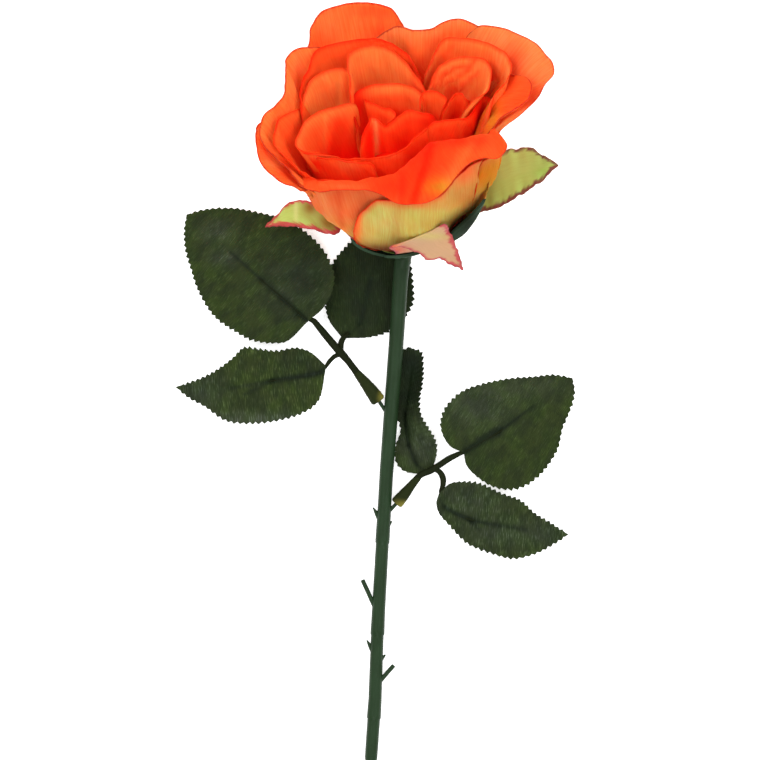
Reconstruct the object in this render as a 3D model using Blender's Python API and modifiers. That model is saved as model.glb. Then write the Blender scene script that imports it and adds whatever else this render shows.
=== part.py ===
"""An artificial rose lying on its back: fabric bloom, calyx, six leaves and a moulded stem.

Lengths are in millimetres and become metres when a mesh is made. X is to the right, +Y runs from
the cut end of the stem to the bloom, and +Z is up from the surface that the rose lies on.
Places in the plane of the rose are given on a drawing seen from above, with y running down.
"""

import math

import bmesh
import bpy
import numpy as np
from mathutils import Matrix, Vector

METRES_PER_MM = 0.001

# The drawing: the rose is 285 mm long and fills its 760 units of height
ROSE_LENGTH = 285.0
DRAWING_HEIGHT = 760
ORIGIN_ON_DRAWING = (375.59, 380.86)
MM_PER_UNIT = ROSE_LENGTH / DRAWING_HEIGHT

# The stem lies nearly flat, and the axis of the bloom bends up and a little to the left
STEM_END_RADIUS = 2.3
STEM_SLOPE = 0.025
BLOOM_RISE = math.radians(38)
BLOOM_TILT = math.radians(8)
BLOOM_BASE = (403, 251)
BLOOM_BASE_HEIGHT = 9.5

# Thicknesses and clearances
PETAL_THICKNESS = 0.9
SEPAL_THICKNESS = 0.7
CUP_THICKNESS = 1.0
LEAF_THICKNESS = 0.65
GAP = 0.3
LEAST_HEIGHT = 0.01

# The bowl that the bloom sits in, and the core that holds its petals: radius, height above the base
BOWL = ((0.0, 4.2), (4.0, 4.5), (10.0, 7.5), (15.0, 11.5), (20.0, 16.0), (24.0, 21.0), (28.0, 27.0), (31.0, 32.0))
CORE = ((0.0, 4.5), (4.0, 4.8), (10.0, 8.0), (14.5, 12.0), (17.5, 16.0), (19.5, 22.0), (19.0, 30.0), (14.0, 37.0),
        (0.0, 41.0))
CORE_SIDES = 20
SEPAL_OFFSET = 0.65
CUP_OFFSET = 1.85
FREE_AT_REAR = (16.0, 24.0)
FREE_ELSEWHERE = (31.0, 42.0)
REAR_SHARE = (0.35, 0.8)

# Petals: the root, and how softly they settle on the surface
PETAL_ROOT_RADIUS = 4.0
PETAL_ROOT_HEIGHT = 6.5
PETAL_SWING = 0.06
LOW_CLEARANCE = 1.7
HIGH_CLEARANCE = 0.8
PETAL_TUCK = 0.25
PETAL_CORNER = 0.16
RESTING_HEIGHT = 0.3
LAYER_STEP = 0.13
RESTING_SOFTNESS = 1.0

# How a petal runs from its root to its rim: two control points, each a share of the rim's
# distance from the axis and of its height
PLAIN = ((0.52, 0.15), (0.76, 0.55))
FLARED = ((0.42, 0.20), (0.52, 0.80))
GUARD = ((0.55, 0.19), (0.83, 0.57))
REAR = ((0.60, 0.12), (0.84, 0.48))
CURLED = ((0.40, 0.30), (0.48, 1.42))

# Each petal: name, shape, rows, columns and the rim as (x, y, height over the bloom's base, curl)
PETALS = (
    ("back_left", REAR, 6, 8, (
        (296, 74, 52, 0), (300, 62, 58, 0), (309, 42, 64, 0), (312, 25, 69, 0), (320, 13, 71, 0),
        (338, 5, 72, 0), (360, 1, 73, 0), (382, 5, 72, 0), (397, 16, 70, 0), (407, 34, 65, 0), (412, 52, 58, 0))),
    ("back_middle", REAR, 6, 8, (
        (350, 64, 52, 0), (362, 50, 58, 0), (376, 38, 63, 0), (388, 29, 67, 0), (409, 29, 68, 0),
        (432, 27, 68, 0), (445, 20, 69, 0), (457, 17, 70, 0), (471, 22, 69, 0), (486, 32, 67, 0),
        (497, 50, 61, 0), (500, 66, 54, 0))),
    ("back_right", FLARED, 6, 10, (
        (452, 58, 56, 0), (462, 42, 62, 0), (470, 31, 66, 0), (480, 25, 69, 0), (505, 28, 69, 0),
        (520, 34, 69, 0), (535, 42, 68, 0), (546, 54, 67, 0), (553, 64, 66, 0), (554, 75, 64, 0),
        (545, 86, 62, 0), (539, 97, 60, 0), (528, 108, 57, 0), (515, 121, 54, 0), (506, 132, 50, 0),
        (500, 142, 45, 0))),
    ("left", FLARED, 6, 10, (
        (356, 62, 54, 0), (340, 54, 60, 0), (325, 47, 65, 0), (308, 47, 67, 0), (295, 49, 67, 0),
        (286, 60, 66, 0), (286, 74, 65, 0), (284, 95, 63, 0), (275, 106, 62, 0), (265, 114, 61, 0),
        (261, 126, 59, 0), (264, 138, 57, 0), (273, 149, 55, 0), (288, 162, 53, 0), (302, 176, 51, 0),
        (314, 188, 48, 0))),
    ("left_low", FLARED, 5, 7, (
        (268, 112, 52, 0), (259, 124, 54, 0), (255, 133, 55, 0), (257, 147, 53, 0), (261, 163, 50, 0),
        (270, 173, 48, 0), (285, 183, 46, 0), (302, 191, 45, 0), (318, 197, 42, 0))),
    ("guard_front_left", GUARD, 5, 6, (
        (296, 180, 44, 0), (304, 187, 46, 0), (318, 189, 48, 0), (335, 189, 49, 0), (352, 189, 49, 0),
        (370, 191, 48, 0), (384, 196, 46, 0))),
    ("guard_front", GUARD, 5, 9, (
        (353, 236, 24, 0), (355, 226, 32, 0), (358, 217, 37, 0), (366, 208, 42, 0), (378, 197, 48, 0),
        (392, 196, 49, 0), (405, 199, 49, 0), (420, 199, 49, 0), (440, 191, 50, 0), (455, 182, 51, 0),
        (470, 172, 52, 0), (484, 163, 52, 0))),
    ("guard_right", GUARD, 5, 5, (
        (470, 166, 51, 0), (480, 161, 52, 0), (492, 157, 52, 0), (500, 148, 53, 0), (507, 136, 53, 0),
        (512, 124, 52, 0))),
    ("front_fold", PLAIN, 7, 12, (
        (290, 168, 50, 0.0), (298, 180, 51, 0.1), (308, 188, 52, 0.2), (320, 191, 52, 0.2),
        (336, 191, 52, 0.2), (352, 191, 52, 0.25), (368, 191, 52, 0.35), (380, 195, 51, 0.5),
        (394, 203, 50, 0.8), (409, 206, 50, 1.0), (425, 204, 50, 1.0), (438, 197, 50, 1.0),
        (450, 185, 51, 1.0), (460, 173, 52, 1.0), (470, 164, 53, 1.0), (483, 159, 54, 1.0),
        (494, 158, 54, 1.0), (503, 153, 54, 0.9), (506, 146, 55, 0.8), (503, 139, 56, 0.7),
        (497, 134, 56, 0.5), (490, 128, 54, 0.3))),
    ("middle_back_left", PLAIN, 5, 9, (
        (298, 132, 48, 0), (299, 122, 53, 0), (300, 112, 57, 0), (303, 88, 61, 0), (308, 68, 64, 0),
        (315, 52, 66, 0), (325, 46, 67, 0), (340, 42, 67, 0), (358, 39, 67, 0), (376, 38, 67, 0),
        (388, 42, 67, 0), (400, 50, 66, 0), (412, 61, 64, 0), (423, 74, 60, 0), (430, 86, 54, 0))),
    ("middle_left", PLAIN, 4, 6, (
        (300, 128, 50, 0), (301, 112, 56, 0), (304, 95, 60, 0), (310, 82, 62, 0), (320, 73, 63, 0),
        (333, 69, 64, 0), (350, 69, 64, 0), (362, 72, 62, 0), (372, 78, 58, 0))),
    ("middle_back", PLAIN, 5, 9, (
        (354, 116, 50, 0), (352, 104, 55, 0), (351, 94, 58, 0), (350, 85, 60, 0), (349, 70, 63, 0),
        (350, 56, 65, 0), (357, 48, 66, 0), (369, 45, 66, 0), (381, 46, 66, 0), (392, 51, 66, 0),
        (402, 60, 65, 0), (411, 70, 64, 0), (420, 82, 61, 0), (428, 91, 58, 0), (434, 100, 52, 0))),
    ("middle_front_left", PLAIN, 4, 7, (
        (358, 96, 54, 0), (352, 102, 57, 0), (338, 107, 58, 0), (322, 111, 58, 0), (309, 118, 57, 0),
        (301, 129, 56, 0), (298, 142, 55, 0), (303, 150, 54, 0), (318, 154, 54, 0), (336, 156, 53, 0),
        (350, 156, 51, 0))),
    ("centre_front", PLAIN, 4, 8, (
        (296, 144, 50, 0), (303, 150, 53, 0), (315, 154, 54, 0), (330, 156, 54, 0), (350, 158, 54, 0),
        (366, 158, 54, 0), (380, 157, 54, 0), (393, 154, 55, 0), (404, 148, 56, 0), (412, 138, 57, 0),
        (420, 131, 58, 0), (430, 126, 58, 0), (440, 123, 57, 0), (450, 120, 54, 0))),
    ("centre_top", PLAIN, 4, 6, (
        (362, 116, 50, 0), (363, 104, 55, 0), (365, 92, 58, 0), (369, 87, 59, 0), (378, 84, 60, 0),
        (392, 84, 60, 0), (405, 85, 60, 0), (414, 89, 60, 0), (420, 95, 59, 0), (423, 103, 57, 0),
        (423, 112, 53, 0))),
    ("centre_small", PLAIN, 4, 5, (
        (362, 98, 50, 0), (365, 100, 55, 0), (372, 104, 57, 0), (382, 107, 57, 0), (390, 110, 57, 0),
        (393, 115, 56, 0), (389, 121, 54, 0), (383, 126, 50, 0))),
    ("centre_swirl", PLAIN, 4, 7, (
        (358, 156, 44, 0), (360, 146, 50, 0), (362, 138, 53, 0), (366, 129, 55, 0), (373, 121, 57, 0),
        (377, 122, 56, 0), (384, 126, 55, 0), (391, 123, 56, 0), (399, 117, 57, 0), (408, 112, 58, 0),
        (418, 113, 58, 0), (427, 118, 57, 0), (433, 124, 54, 0))),
    ("centre_round", PLAIN, 4, 5, (
        (422, 118, 50, 0), (421, 108, 56, 0), (421, 100, 58, 0), (424, 93, 59, 0), (432, 92, 59, 0),
        (441, 95, 59, 0), (446, 99, 58, 0), (443, 108, 56, 0), (437, 115, 53, 0))),
    ("centre_right_small", PLAIN, 4, 5, (
        (438, 122, 52, 0), (442, 114, 55, 0), (447, 106, 57, 0), (452, 98, 58, 0), (457, 93, 59, 0),
        (463, 93, 59, 0), (466, 98, 57, 0), (466, 106, 52, 0))),
    ("right_inner", PLAIN, 4, 8, (
        (420, 92, 56, 0), (428, 80, 60, 0), (436, 72, 62, 0), (444, 64, 63, 0), (453, 59, 64, 0),
        (466, 57, 64, 0), (480, 57, 64, 0), (488, 62, 63, 0), (491, 72, 62, 0), (490, 82, 60, 0),
        (484, 91, 58, 0), (476, 98, 56, 0), (468, 108, 52, 0))),
    ("right_inner_fold", PLAIN, 4, 5, (
        (420, 90, 56, 0), (430, 83, 59, 0), (442, 77, 61, 0), (454, 71, 62, 0), (466, 66, 62, 0),
        (473, 70, 61, 0), (473, 82, 59, 0), (468, 96, 55, 0))),
    ("right_middle", PLAIN, 5, 9, (
        (420, 86, 54, 0), (424, 76, 60, 0), (430, 62, 63, 0), (437, 49, 65, 0), (446, 39, 67, 0),
        (460, 38, 67, 0), (475, 39, 67, 0), (487, 43, 66, 0), (498, 48, 65, 0), (506, 55, 65, 0),
        (509, 64, 63, 0), (507, 76, 62, 0), (501, 88, 60, 0), (492, 98, 57, 0), (482, 108, 52, 0))),
    ("right_outer", PLAIN, 4, 7, (
        (496, 100, 48, 0.0), (501, 88, 56, 0.0), (507, 78, 61, 0.0), (514, 75, 63, 0.0),
        (523, 76, 63, 0.0), (531, 80, 63, 0.0), (535, 88, 62, 0.0), (532, 95, 61, 0.2),
        (522, 101, 59, 0.3), (511, 110, 58, 0.3), (499, 120, 56, 0.3), (488, 131, 53, 0.2),
        (480, 142, 48, 0.0))),
    ("front_right_inner", PLAIN, 4, 5, (
        (416, 140, 50, 0), (424, 131, 55, 0), (432, 125, 58, 0), (443, 122, 58, 0), (455, 122, 58, 0),
        (465, 120, 58, 0), (472, 114, 57, 0), (476, 106, 53, 0))),
    ("front_inner", PLAIN, 5, 8, (
        (288, 158, 48, 0), (299, 169, 51, 0), (313, 176, 52, 0), (332, 181, 52.5, 0), (352, 182, 52.5, 0),
        (372, 180, 53, 0), (393, 175, 54, 0), (408, 167, 55, 0), (418, 155, 57, 0), (427, 145, 57, 0),
        (440, 141, 57, 0), (458, 138, 57, 0), (474, 136, 56, 0))),
    ("front_small", PLAIN, 4, 5, (
        (304, 152, 52, 0), (310, 158, 54, 0), (320, 166, 54, 0), (332, 172, 54, 0), (345, 177, 53, 0),
        (360, 179, 53, 0), (371, 177, 53, 0), (375, 168, 52, 0))),
    ("left_inner", PLAIN, 5, 7, (
        (310, 104, 52, 0), (299, 109, 57, 0), (288, 113, 59, 0), (279, 120, 60, 0), (275, 130, 59, 0),
        (277, 143, 57, 0), (285, 156, 56, 0), (296, 167, 55, 0), (310, 176, 53, 0), (325, 182, 50, 0))),
)

# The neck pin that holds the calyx and the bloom on the stem: heights are above the bloom's base
PIN_RADIUS = 1.5
PIN_HOLE_RADIUS = 1.9
PIN_FOOT = -1.0
PIN_TOP = 10.0

# Stem: drawing x, y and diameter, with a sharp collar where two places nearly meet
STEM_PATH = (
    (371.0, 760.0, 4.7), (371.8, 748.0, 4.8), (373.7, 720.0, 4.8), (373.8, 718.8, 5.3), (375.0, 700.0, 5.0),
    (377.3, 636.0, 4.8), (377.4, 634.8, 5.3), (378.6, 610.0, 5.0), (382.3, 544.0, 4.9), (382.4, 542.8, 5.4),
    (385.0, 498.0, 5.1), (386.5, 472.0, 5.2), (394.0, 373.0, 5.6), (398.0, 318.0, 5.6), (400.4, 280.0, 5.7),
    (401.8, 266.0, 6.0),
)
SHOULDER = ((-2.2, 6.2), (0.5, 6.4), (1.6, 5.2))
STEM_SIDES = 14
PEG_SIDES = 8

# Pegs on the stem: start, end, radius, and the rise of the end over the stem's middle
BARE_PEGS = (
    ((374.0, 606.0), (362.7, 581.0), 0.85, 0.8),
    ((379.5, 682.5), (393.4, 666.6), 0.85, 0.8),
)
SPRAY_PEGS = (
    ((390.5, 418.5), (374.5, 394.5), 0.7, 0.3),
    ((385.0, 516.0), (400.5, 499.5), 0.7, 0.3),
)
# Thorns: foot on the stem's middle line, tip, and radius of the foot
THORNS = (
    ((381.0, 521.0), (373.2, 508.0), 1.3),
    ((374.5, 654.0), (366.8, 641.0), 1.3),
    ((385.5, 529.0), (391.8, 521.5), 1.2),
    ((378.0, 663.0), (385.4, 655.5), 1.2),
)
THORN_TIP_RADIUS = 0.25

# Calyx cup: lobes as azimuth, half width and reach on the bowl, and how far the tips stand off
CUP_HOLE = 2.1
CUP_VALLEY = 11.0
CUP_LOBES = ((68.0, 30.0, 28.0, 2.6), (2.0, 36.0, 17.0, 0.0), (-70.0, 36.0, 18.0, 0.0),
             (-142.0, 36.0, 15.0, 0.0), (148.0, 36.0, 15.0, 0.0))
CUP_ROWS = 5
CUP_ROW_SPREAD = 1.3
CUP_COLUMNS = 40

# Sepals: foot azimuth, and rows of left edge, middle and right edge as (x, y, height)
SEPAL_FOOT = ((4.5, 36.0), (9.0, 30.0), (14.0, 22.0), (19.0, 18.0))
SEPAL_ROWS = 8
FRONT_SEPAL = (10.0, (
    ((388, 247, 23), (414, 238, 28.5), (441, 226, 30)),
    ((418, 252.5, 18), (434, 243, 22), (449, 232, 24)),
    ((438, 258, 14), (447, 251, 17), (455, 242, 19)),
    ((451, 264, 11), (455, 260, 12), (459, 256, 14)),
    ((463, 270.5, 9), (463, 270.5, 9), (463, 270.5, 9))))
RIGHT_SEPAL = (113.0, (
    ((478, 212, 11), (487, 184, 17), (500, 154, 20)),
    ((497, 208, 13), (508, 178, 18), (517, 147, 21)),
    ((523, 193, 16), (529, 172, 19), (534, 149, 21)),
    ((541, 181.5, 18), (545, 168, 20), (547, 157, 21)),
    ((559, 165, 20), (559, 165, 20), (559, 165, 20))))
LEFT_SEPAL = (-89.0, (
    ((336, 235, 17), (328, 220, 20), (320, 204, 23)),
    ((313, 229.5, 17), (308, 215, 19), (305, 200.5, 22)),
    ((296, 226.5, 16), (293, 214, 18), (293, 200.5, 20)),
    ((282, 225.5, 16), (281, 218, 17), (281, 210, 18)),
    ((265, 227, 16), (265, 227, 16), (265, 227, 16))))
# The two hidden sepals lie under the bloom: foot azimuth, tip azimuth, tip reach and tip height
HIDDEN_SEPALS = ((154.0, 150.0, 34.0, 19.0), (-138.0, -130.0, 35.0, 19.0))

# Leaves: the edge on the left and on the right of the midrib from foot to tip, the midrib, the
# height of the midrib over the surface, and the drop of each edge below it
LEAF_TEETH = 13
TOOTH_DEPTH = 0.9
LEAVES = {
    "leaf_left_end": {
        "left": ((308, 321), (287, 341), (273, 343), (252, 340), (236.5, 332), (214, 316), (197, 288),
                 (191, 270), (185, 248), (184, 230), (186, 214)),
        "middle": ((308, 321), (288, 302), (267, 285), (247, 267), (229, 251), (206, 231), (186, 214)),
        "right": ((308, 321), (322, 309), (331, 294), (334, 276), (330, 262), (321, 247), (307, 233),
                  (290, 222), (270, 215), (252, 211), (233.5, 208), (206, 209), (186, 214)),
        "heights": (8.8, 8.6, 7.4, 5.6, 3.0, 0.35),
        "drops": (1.6, 1.2),
    },
    "leaf_left_side": {
        "left": ((326, 366), (318, 401), (301, 413.5), (279, 420), (256, 423), (227, 421), (204, 406),
                 (189, 398), (175, 387)),
        "middle": ((326, 366), (318, 374), (297, 378), (275, 380), (246, 387), (210, 390), (175, 387)),
        "right": ((326, 366), (310, 352), (296, 348), (276, 351), (258, 349), (243, 348), (233.5, 357),
                  (218, 369), (206, 376), (188, 383), (175, 387)),
        "heights": (7.6, 7.4, 6.0, 3.6, 0.35),
        "drops": (1.4, 0.4),
    },
    "leaf_left_back": {
        "left": ((342, 338), (328, 318), (325, 290), (331, 266), (347, 245), (366, 230), (388, 223)),
        "middle": ((342, 338), (360, 323), (367, 302), (371, 282), (375, 263), (381, 242), (388, 223)),
        "right": ((342, 338), (352, 338), (370, 337), (389, 331), (404, 318), (413, 302), (413, 286),
                  (410, 262), (402, 240), (388, 223)),
        "heights": (4.6, 3.0, 2.4, 1.8, 1.2, 0.9),
        "drops": (0.9, 0.5),
    },
    "leaf_right_end": {
        "left": ((464, 453), (450, 446), (441.6, 431), (441, 421), (444.5, 410), (452, 400), (463.6, 391),
                 (483, 384), (508, 379), (534, 377), (553, 375), (573, 378)),
        "middle": ((464, 453), (481, 443), (497, 434), (515, 420), (533, 406), (553, 391), (573, 378)),
        "right": ((464, 453), (466.5, 465), (475, 475), (494, 487), (512, 489.6), (527, 485), (543, 472),
                  (557.5, 450), (563, 428), (571, 409), (575, 393), (573, 378)),
        "heights": (7.0, 6.8, 6.0, 4.4, 2.6, 0.35),
        "drops": (0.8, 1.6),
    },
    "leaf_right_side": {
        "left": ((439, 494), (450, 484), (462, 482), (480, 484), (502, 494), (521, 501), (534, 513),
                 (550, 523), (569, 535)),
        "middle": ((439, 494), (443, 504), (455, 514), (468, 519), (483, 523), (524, 531), (569, 535)),
        "right": ((439, 494), (436.5, 503), (439, 513), (450, 526), (468, 544), (490, 553), (513.5, 559),
                  (538, 553), (553, 545), (569, 535)),
        "heights": (6.2, 6.0, 5.0, 3.0, 0.35),
        "drops": (0.9, 1.2),
    },
    "leaf_right_back": {
        "left": ((430, 473), (417, 474), (404, 471), (398, 465), (398, 446), (401, 422), (405, 395),
                 (407, 370), (408, 356), (411, 348)),
        "middle": ((430, 473), (417, 465), (409, 446), (406, 422), (409, 395), (412, 370), (411, 348)),
        "right": ((430, 473), (435, 462), (437, 450), (435, 440), (428, 428), (421, 416), (419, 401),
                  (422, 384), (423, 366), (421, 353), (411, 348)),
        "heights": (2.9, 2.4, 1.8, 1.4, 1.8, 2.6),
        "drops": (-2.4, -8.0),
    },
}

# Leaf stalks: drawing x, y, height and radius. The sleeve of each spray has a blind hole for its peg
LEFT_SLEEVE = ((379.5, 402.3, 6.05, 1.55), (372.0, 391.5, 6.4, 1.6), (361.0, 378.0, 6.9, 1.6))
LEFT_STALKS = (
    ((363.0, 381.0, 6.8, 1.1), (350.0, 363.5, 7.2, 1.0), (340.0, 352.0, 7.5, 1.05),
     (326.0, 335.0, 7.6, 0.95), (316.0, 323.0, 7.5, 0.75)),
    ((342.0, 354.0, 7.4, 0.7), (335.0, 356.5, 7.0, 0.75), (329.5, 361.0, 6.5, 0.7)),
    ((341.0, 354.0, 7.2, 0.7), (340.0, 347.0, 6.7, 0.75), (342.0, 340.0, 6.0, 0.7), (348.0, 333.0, 5.1, 0.55)),
)
RIGHT_SLEEVE = ((396.5, 504.0, 5.1, 1.55), (400.0, 500.0, 5.3, 1.6), (407.5, 491.0, 5.6, 1.6))
RIGHT_STALKS = (
    ((406.0, 493.0, 5.5, 1.1), (413.0, 483.0, 5.9, 1.05), (421.0, 474.5, 6.2, 1.1), (431.0, 470.6, 6.4, 1.05),
     (440.0, 465.0, 6.4, 0.95), (449.0, 457.5, 6.1, 0.85), (458.0, 454.5, 5.8, 0.75)),
    ((433.0, 469.5, 6.4, 0.7), (439.0, 471.0, 6.2, 0.75), (443.5, 477.0, 5.8, 0.75), (440.5, 488.0, 5.1, 0.7)),
    ((433.0, 470.5, 6.2, 0.7), (430.5, 472.0, 5.2, 0.7), (428.5, 472.5, 4.2, 0.6)),
)
SLEEVE_HOLE_RADIUS = 1.0
RIB_RADIUS = 0.5
RIB_TIP_RADIUS = 0.35
# The ribs under the leaves: leaf, the stalk that it grows from, and its span on the midrib
LEFT_RIBS = (("leaf_left_end", 0, 0.06, 0.62), ("leaf_left_side", 1, 0.06, 0.5))
RIGHT_RIBS = (("leaf_right_end", 0, 0.06, 0.6), ("leaf_right_side", 1, 0.06, 0.45))

PETAL_COLOUR = (0.93, 0.11, 0.025)
SEPAL_COLOUR = (0.50, 0.46, 0.12)
LEAF_COLOUR = (0.035, 0.055, 0.02)
STEM_COLOUR = (0.04, 0.085, 0.04)
CUP_COLOUR = (0.05, 0.10, 0.03)


def on_drawing(x, y, height):
    """The place in mm of a point of the drawing, at a height above the surface."""
    origin_x, origin_y = ORIGIN_ON_DRAWING
    return np.array([(x - origin_x) * MM_PER_UNIT, (origin_y - y) * MM_PER_UNIT, height])


BLOOM_ORIGIN = on_drawing(*BLOOM_BASE, BLOOM_BASE_HEIGHT)
BLOOM_AXIS = np.array([
    -math.sin(BLOOM_TILT) * math.cos(BLOOM_RISE),
    math.cos(BLOOM_TILT) * math.cos(BLOOM_RISE),
    math.sin(BLOOM_RISE),
])
BLOOM_RIGHT = np.array([math.cos(BLOOM_TILT), math.sin(BLOOM_TILT), 0.0])
BLOOM_REAR = np.cross(BLOOM_AXIS, BLOOM_RIGHT)


def in_bloom(right, rear, height):
    """A place in mm from distances along the bloom's right, its rear and its axis."""
    return BLOOM_ORIGIN + right * BLOOM_RIGHT + rear * BLOOM_REAR + height * BLOOM_AXIS


def seen_in_bloom(x, y, height):
    """Right, rear and height of the bloom's point that the drawing shows at x, y."""
    across, along = (on_drawing(x, y, 0.0) - on_drawing(*BLOOM_BASE, 0.0))[:2]
    right = math.cos(BLOOM_TILT) * across + math.sin(BLOOM_TILT) * along
    up = math.cos(BLOOM_TILT) * along - math.sin(BLOOM_TILT) * across
    rear = (up - math.cos(BLOOM_RISE) * height) / math.sin(BLOOM_RISE)
    return np.array([right, rear, height])


def on_bowl(azimuth, reach, offset):
    """A place off the outside of the bowl. The azimuth is in degrees from the front to the right."""
    radii, heights = np.array(BOWL).T
    height = np.interp(reach, radii, heights)
    rise = np.interp(reach + 1.0, radii, heights) - np.interp(reach - 1.0, radii, heights)
    slope = math.atan2(rise, 2.0)
    radius = reach + offset * math.sin(slope)
    turn = math.radians(azimuth)
    return in_bloom(radius * math.sin(turn), -radius * math.cos(turn), height - offset * math.cos(slope))


def blend(first, second, share):
    return (1 - share) * first + share * second


def smooth_point(points, knots, knot):
    """One point of the smooth curve between the middle two of four points."""
    near = [blend(points[i], points[i + 1], (knot - knots[i]) / (knots[i + 1] - knots[i])) for i in range(3)]
    wide = [blend(near[i], near[i + 1], (knot - knots[i]) / (knots[i + 2] - knots[i])) for i in range(2)]
    return blend(wide[0], wide[1], (knot - knots[1]) / (knots[2] - knots[1]))


def smooth_line(points, count):
    """Evenly spaced points on a smooth curve through the given ones."""
    known = np.array(points, float)
    ends = np.vstack([2 * known[0] - known[1], known, 2 * known[-1] - known[-2]])
    steps = np.linalg.norm(np.diff(ends[:, :3], axis=0), axis=1)
    knots = np.concatenate([[0.0], np.cumsum(np.sqrt(steps))])
    lengths = np.concatenate([[0.0], np.cumsum(steps[1:-1])])
    line = []
    for knot in np.interp(np.linspace(0.0, lengths[-1], count), lengths, knots[1:-1]):
        first = min(max(int(np.searchsorted(knots, knot, side="right")) - 2, 0), len(known) - 2)
        line.append(smooth_point(ends[first:first + 4], knots[first:first + 4], knot))
    return np.array(line)


def add_object(name, mesh):
    obj = bpy.data.objects.new(name, mesh)
    bpy.data.collections["rose"].objects.link(obj)
    return obj


def applied(obj):
    """The object with its modifiers made real."""
    bpy.context.view_layer.update()
    graph = bpy.context.evaluated_depsgraph_get()
    mesh = bpy.data.meshes.new_from_object(obj.evaluated_get(graph))
    obj.modifiers.clear()
    obj.data = mesh
    return obj


def sheet(name, rows, thickness):
    """A blade of even thickness through rows of points, split into the same triangles on both faces."""
    grid = np.array(rows)
    row_steps = grid.shape[0] - 1
    column_steps = grid.shape[1] - 1
    shape = bmesh.new()
    bmesh.ops.create_grid(shape, x_segments=column_steps, y_segments=row_steps, size=0.5)
    for vertex in shape.verts:
        column = round((vertex.co.x + 0.5) * column_steps)
        row = round((vertex.co.y + 0.5) * row_steps)
        vertex.co = Vector(grid[row, column]) * METRES_PER_MM
    bmesh.ops.remove_doubles(shape, verts=shape.verts, dist=0.00001)
    bmesh.ops.triangulate(shape, faces=shape.faces)
    mesh = bpy.data.meshes.new(name)
    shape.to_mesh(mesh)
    shape.free()
    blade = add_object(name, mesh)
    solid = blade.modifiers.new("Thickness", "SOLIDIFY")
    solid.thickness = thickness * METRES_PER_MM
    solid.offset = 0.0
    return applied(blade)


def tube(name, points, sides):
    """A round bar through places in mm, each with its own radius, closed at both ends."""
    curve = bpy.data.curves.new(name, "CURVE")
    curve.dimensions = "3D"
    curve.bevel_depth = METRES_PER_MM
    curve.bevel_resolution = sides // 2 - 2
    curve.use_fill_caps = True
    line = curve.splines.new("POLY")
    line.points.add(len(points) - 1)
    for point, (x, y, z, radius) in zip(line.points, points):
        point.co = (x * METRES_PER_MM, y * METRES_PER_MM, z * METRES_PER_MM, 1.0)
        point.radius = radius
    bar = add_object(name, curve)
    bpy.context.view_layer.update()
    graph = bpy.context.evaluated_depsgraph_get()
    mesh = bpy.data.meshes.new_from_object(bar.evaluated_get(graph))
    bpy.data.objects.remove(bar)
    clean = bmesh.new()
    clean.from_mesh(mesh)
    bmesh.ops.remove_doubles(clean, verts=clean.verts, dist=0.000001)
    bmesh.ops.recalc_face_normals(clean, faces=clean.faces)
    clean.to_mesh(mesh)
    clean.free()
    return add_object(name, mesh)


def drawn_tube(name, points, sides):
    """A round bar through places of the drawing: x, y, height and radius."""
    return tube(name, [(*on_drawing(x, y, height), radius) for x, y, height, radius in points], sides)


def turned_in_bloom(name, profile, sides):
    """A body turned about the bloom's axis from radii and heights, closed on the axis."""
    shape = bmesh.new()
    corners = [shape.verts.new((radius * METRES_PER_MM, 0.0, height * METRES_PER_MM)) for radius, height in profile]
    for first, second in zip(corners, corners[1:]):
        shape.edges.new((first, second))
    bmesh.ops.spin(shape, geom=shape.verts[:] + shape.edges[:], axis=(0, 0, 1), cent=(0, 0, 0),
                   angle=2 * math.pi, steps=sides, use_merge=True)
    bmesh.ops.remove_doubles(shape, verts=shape.verts, dist=0.00001)
    bmesh.ops.recalc_face_normals(shape, faces=shape.faces)
    mesh = bpy.data.meshes.new(name)
    shape.to_mesh(mesh)
    shape.free()
    place = Matrix((BLOOM_RIGHT, BLOOM_REAR, BLOOM_AXIS)).transposed().to_4x4()
    place.translation = Vector(BLOOM_ORIGIN) * METRES_PER_MM
    mesh.transform(place)
    return add_object(name, mesh)


def with_boolean(body, others, operation, solver):
    """The body joined with the others, or cut by them. The others are removed."""
    helpers = bpy.data.collections.new("helpers")
    for other in others:
        helpers.objects.link(other)
    change = body.modifiers.new("Boolean", "BOOLEAN")
    change.operation = operation
    change.operand_type = "COLLECTION"
    change.collection = helpers
    change.solver = solver
    applied(body)
    for other in others:
        bpy.data.objects.remove(other)
    bpy.data.collections.remove(helpers)
    return body


def fused(name, pieces):
    body = with_boolean(pieces[0], pieces[1:], "UNION", "MANIFOLD")
    body.name = name
    body.data.name = name
    return body


def skin_from(start, waiting):
    """The faces that join a first face edge to edge."""
    skin = [start]
    waiting.discard(start)
    for face in skin:
        for edge in face.edges:
            for other in edge.link_faces:
                if other in waiting:
                    waiting.discard(other)
                    skin.append(other)
    return skin


def keep_outer_skin(body):
    """Fills the hollows that fusing has sealed and drops loose scraps."""
    shape = bmesh.new()
    shape.from_mesh(body.data)
    waiting = set(shape.faces)
    skins = []
    while waiting:
        skins.append(skin_from(next(iter(waiting)), waiting))
    skins.sort(key=len)
    extra = [face for skin in skins[:-1] for face in skin]
    bmesh.ops.delete(shape, geom=extra, context="FACES")
    shape.to_mesh(body.data)
    shape.free()
    return body


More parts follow.
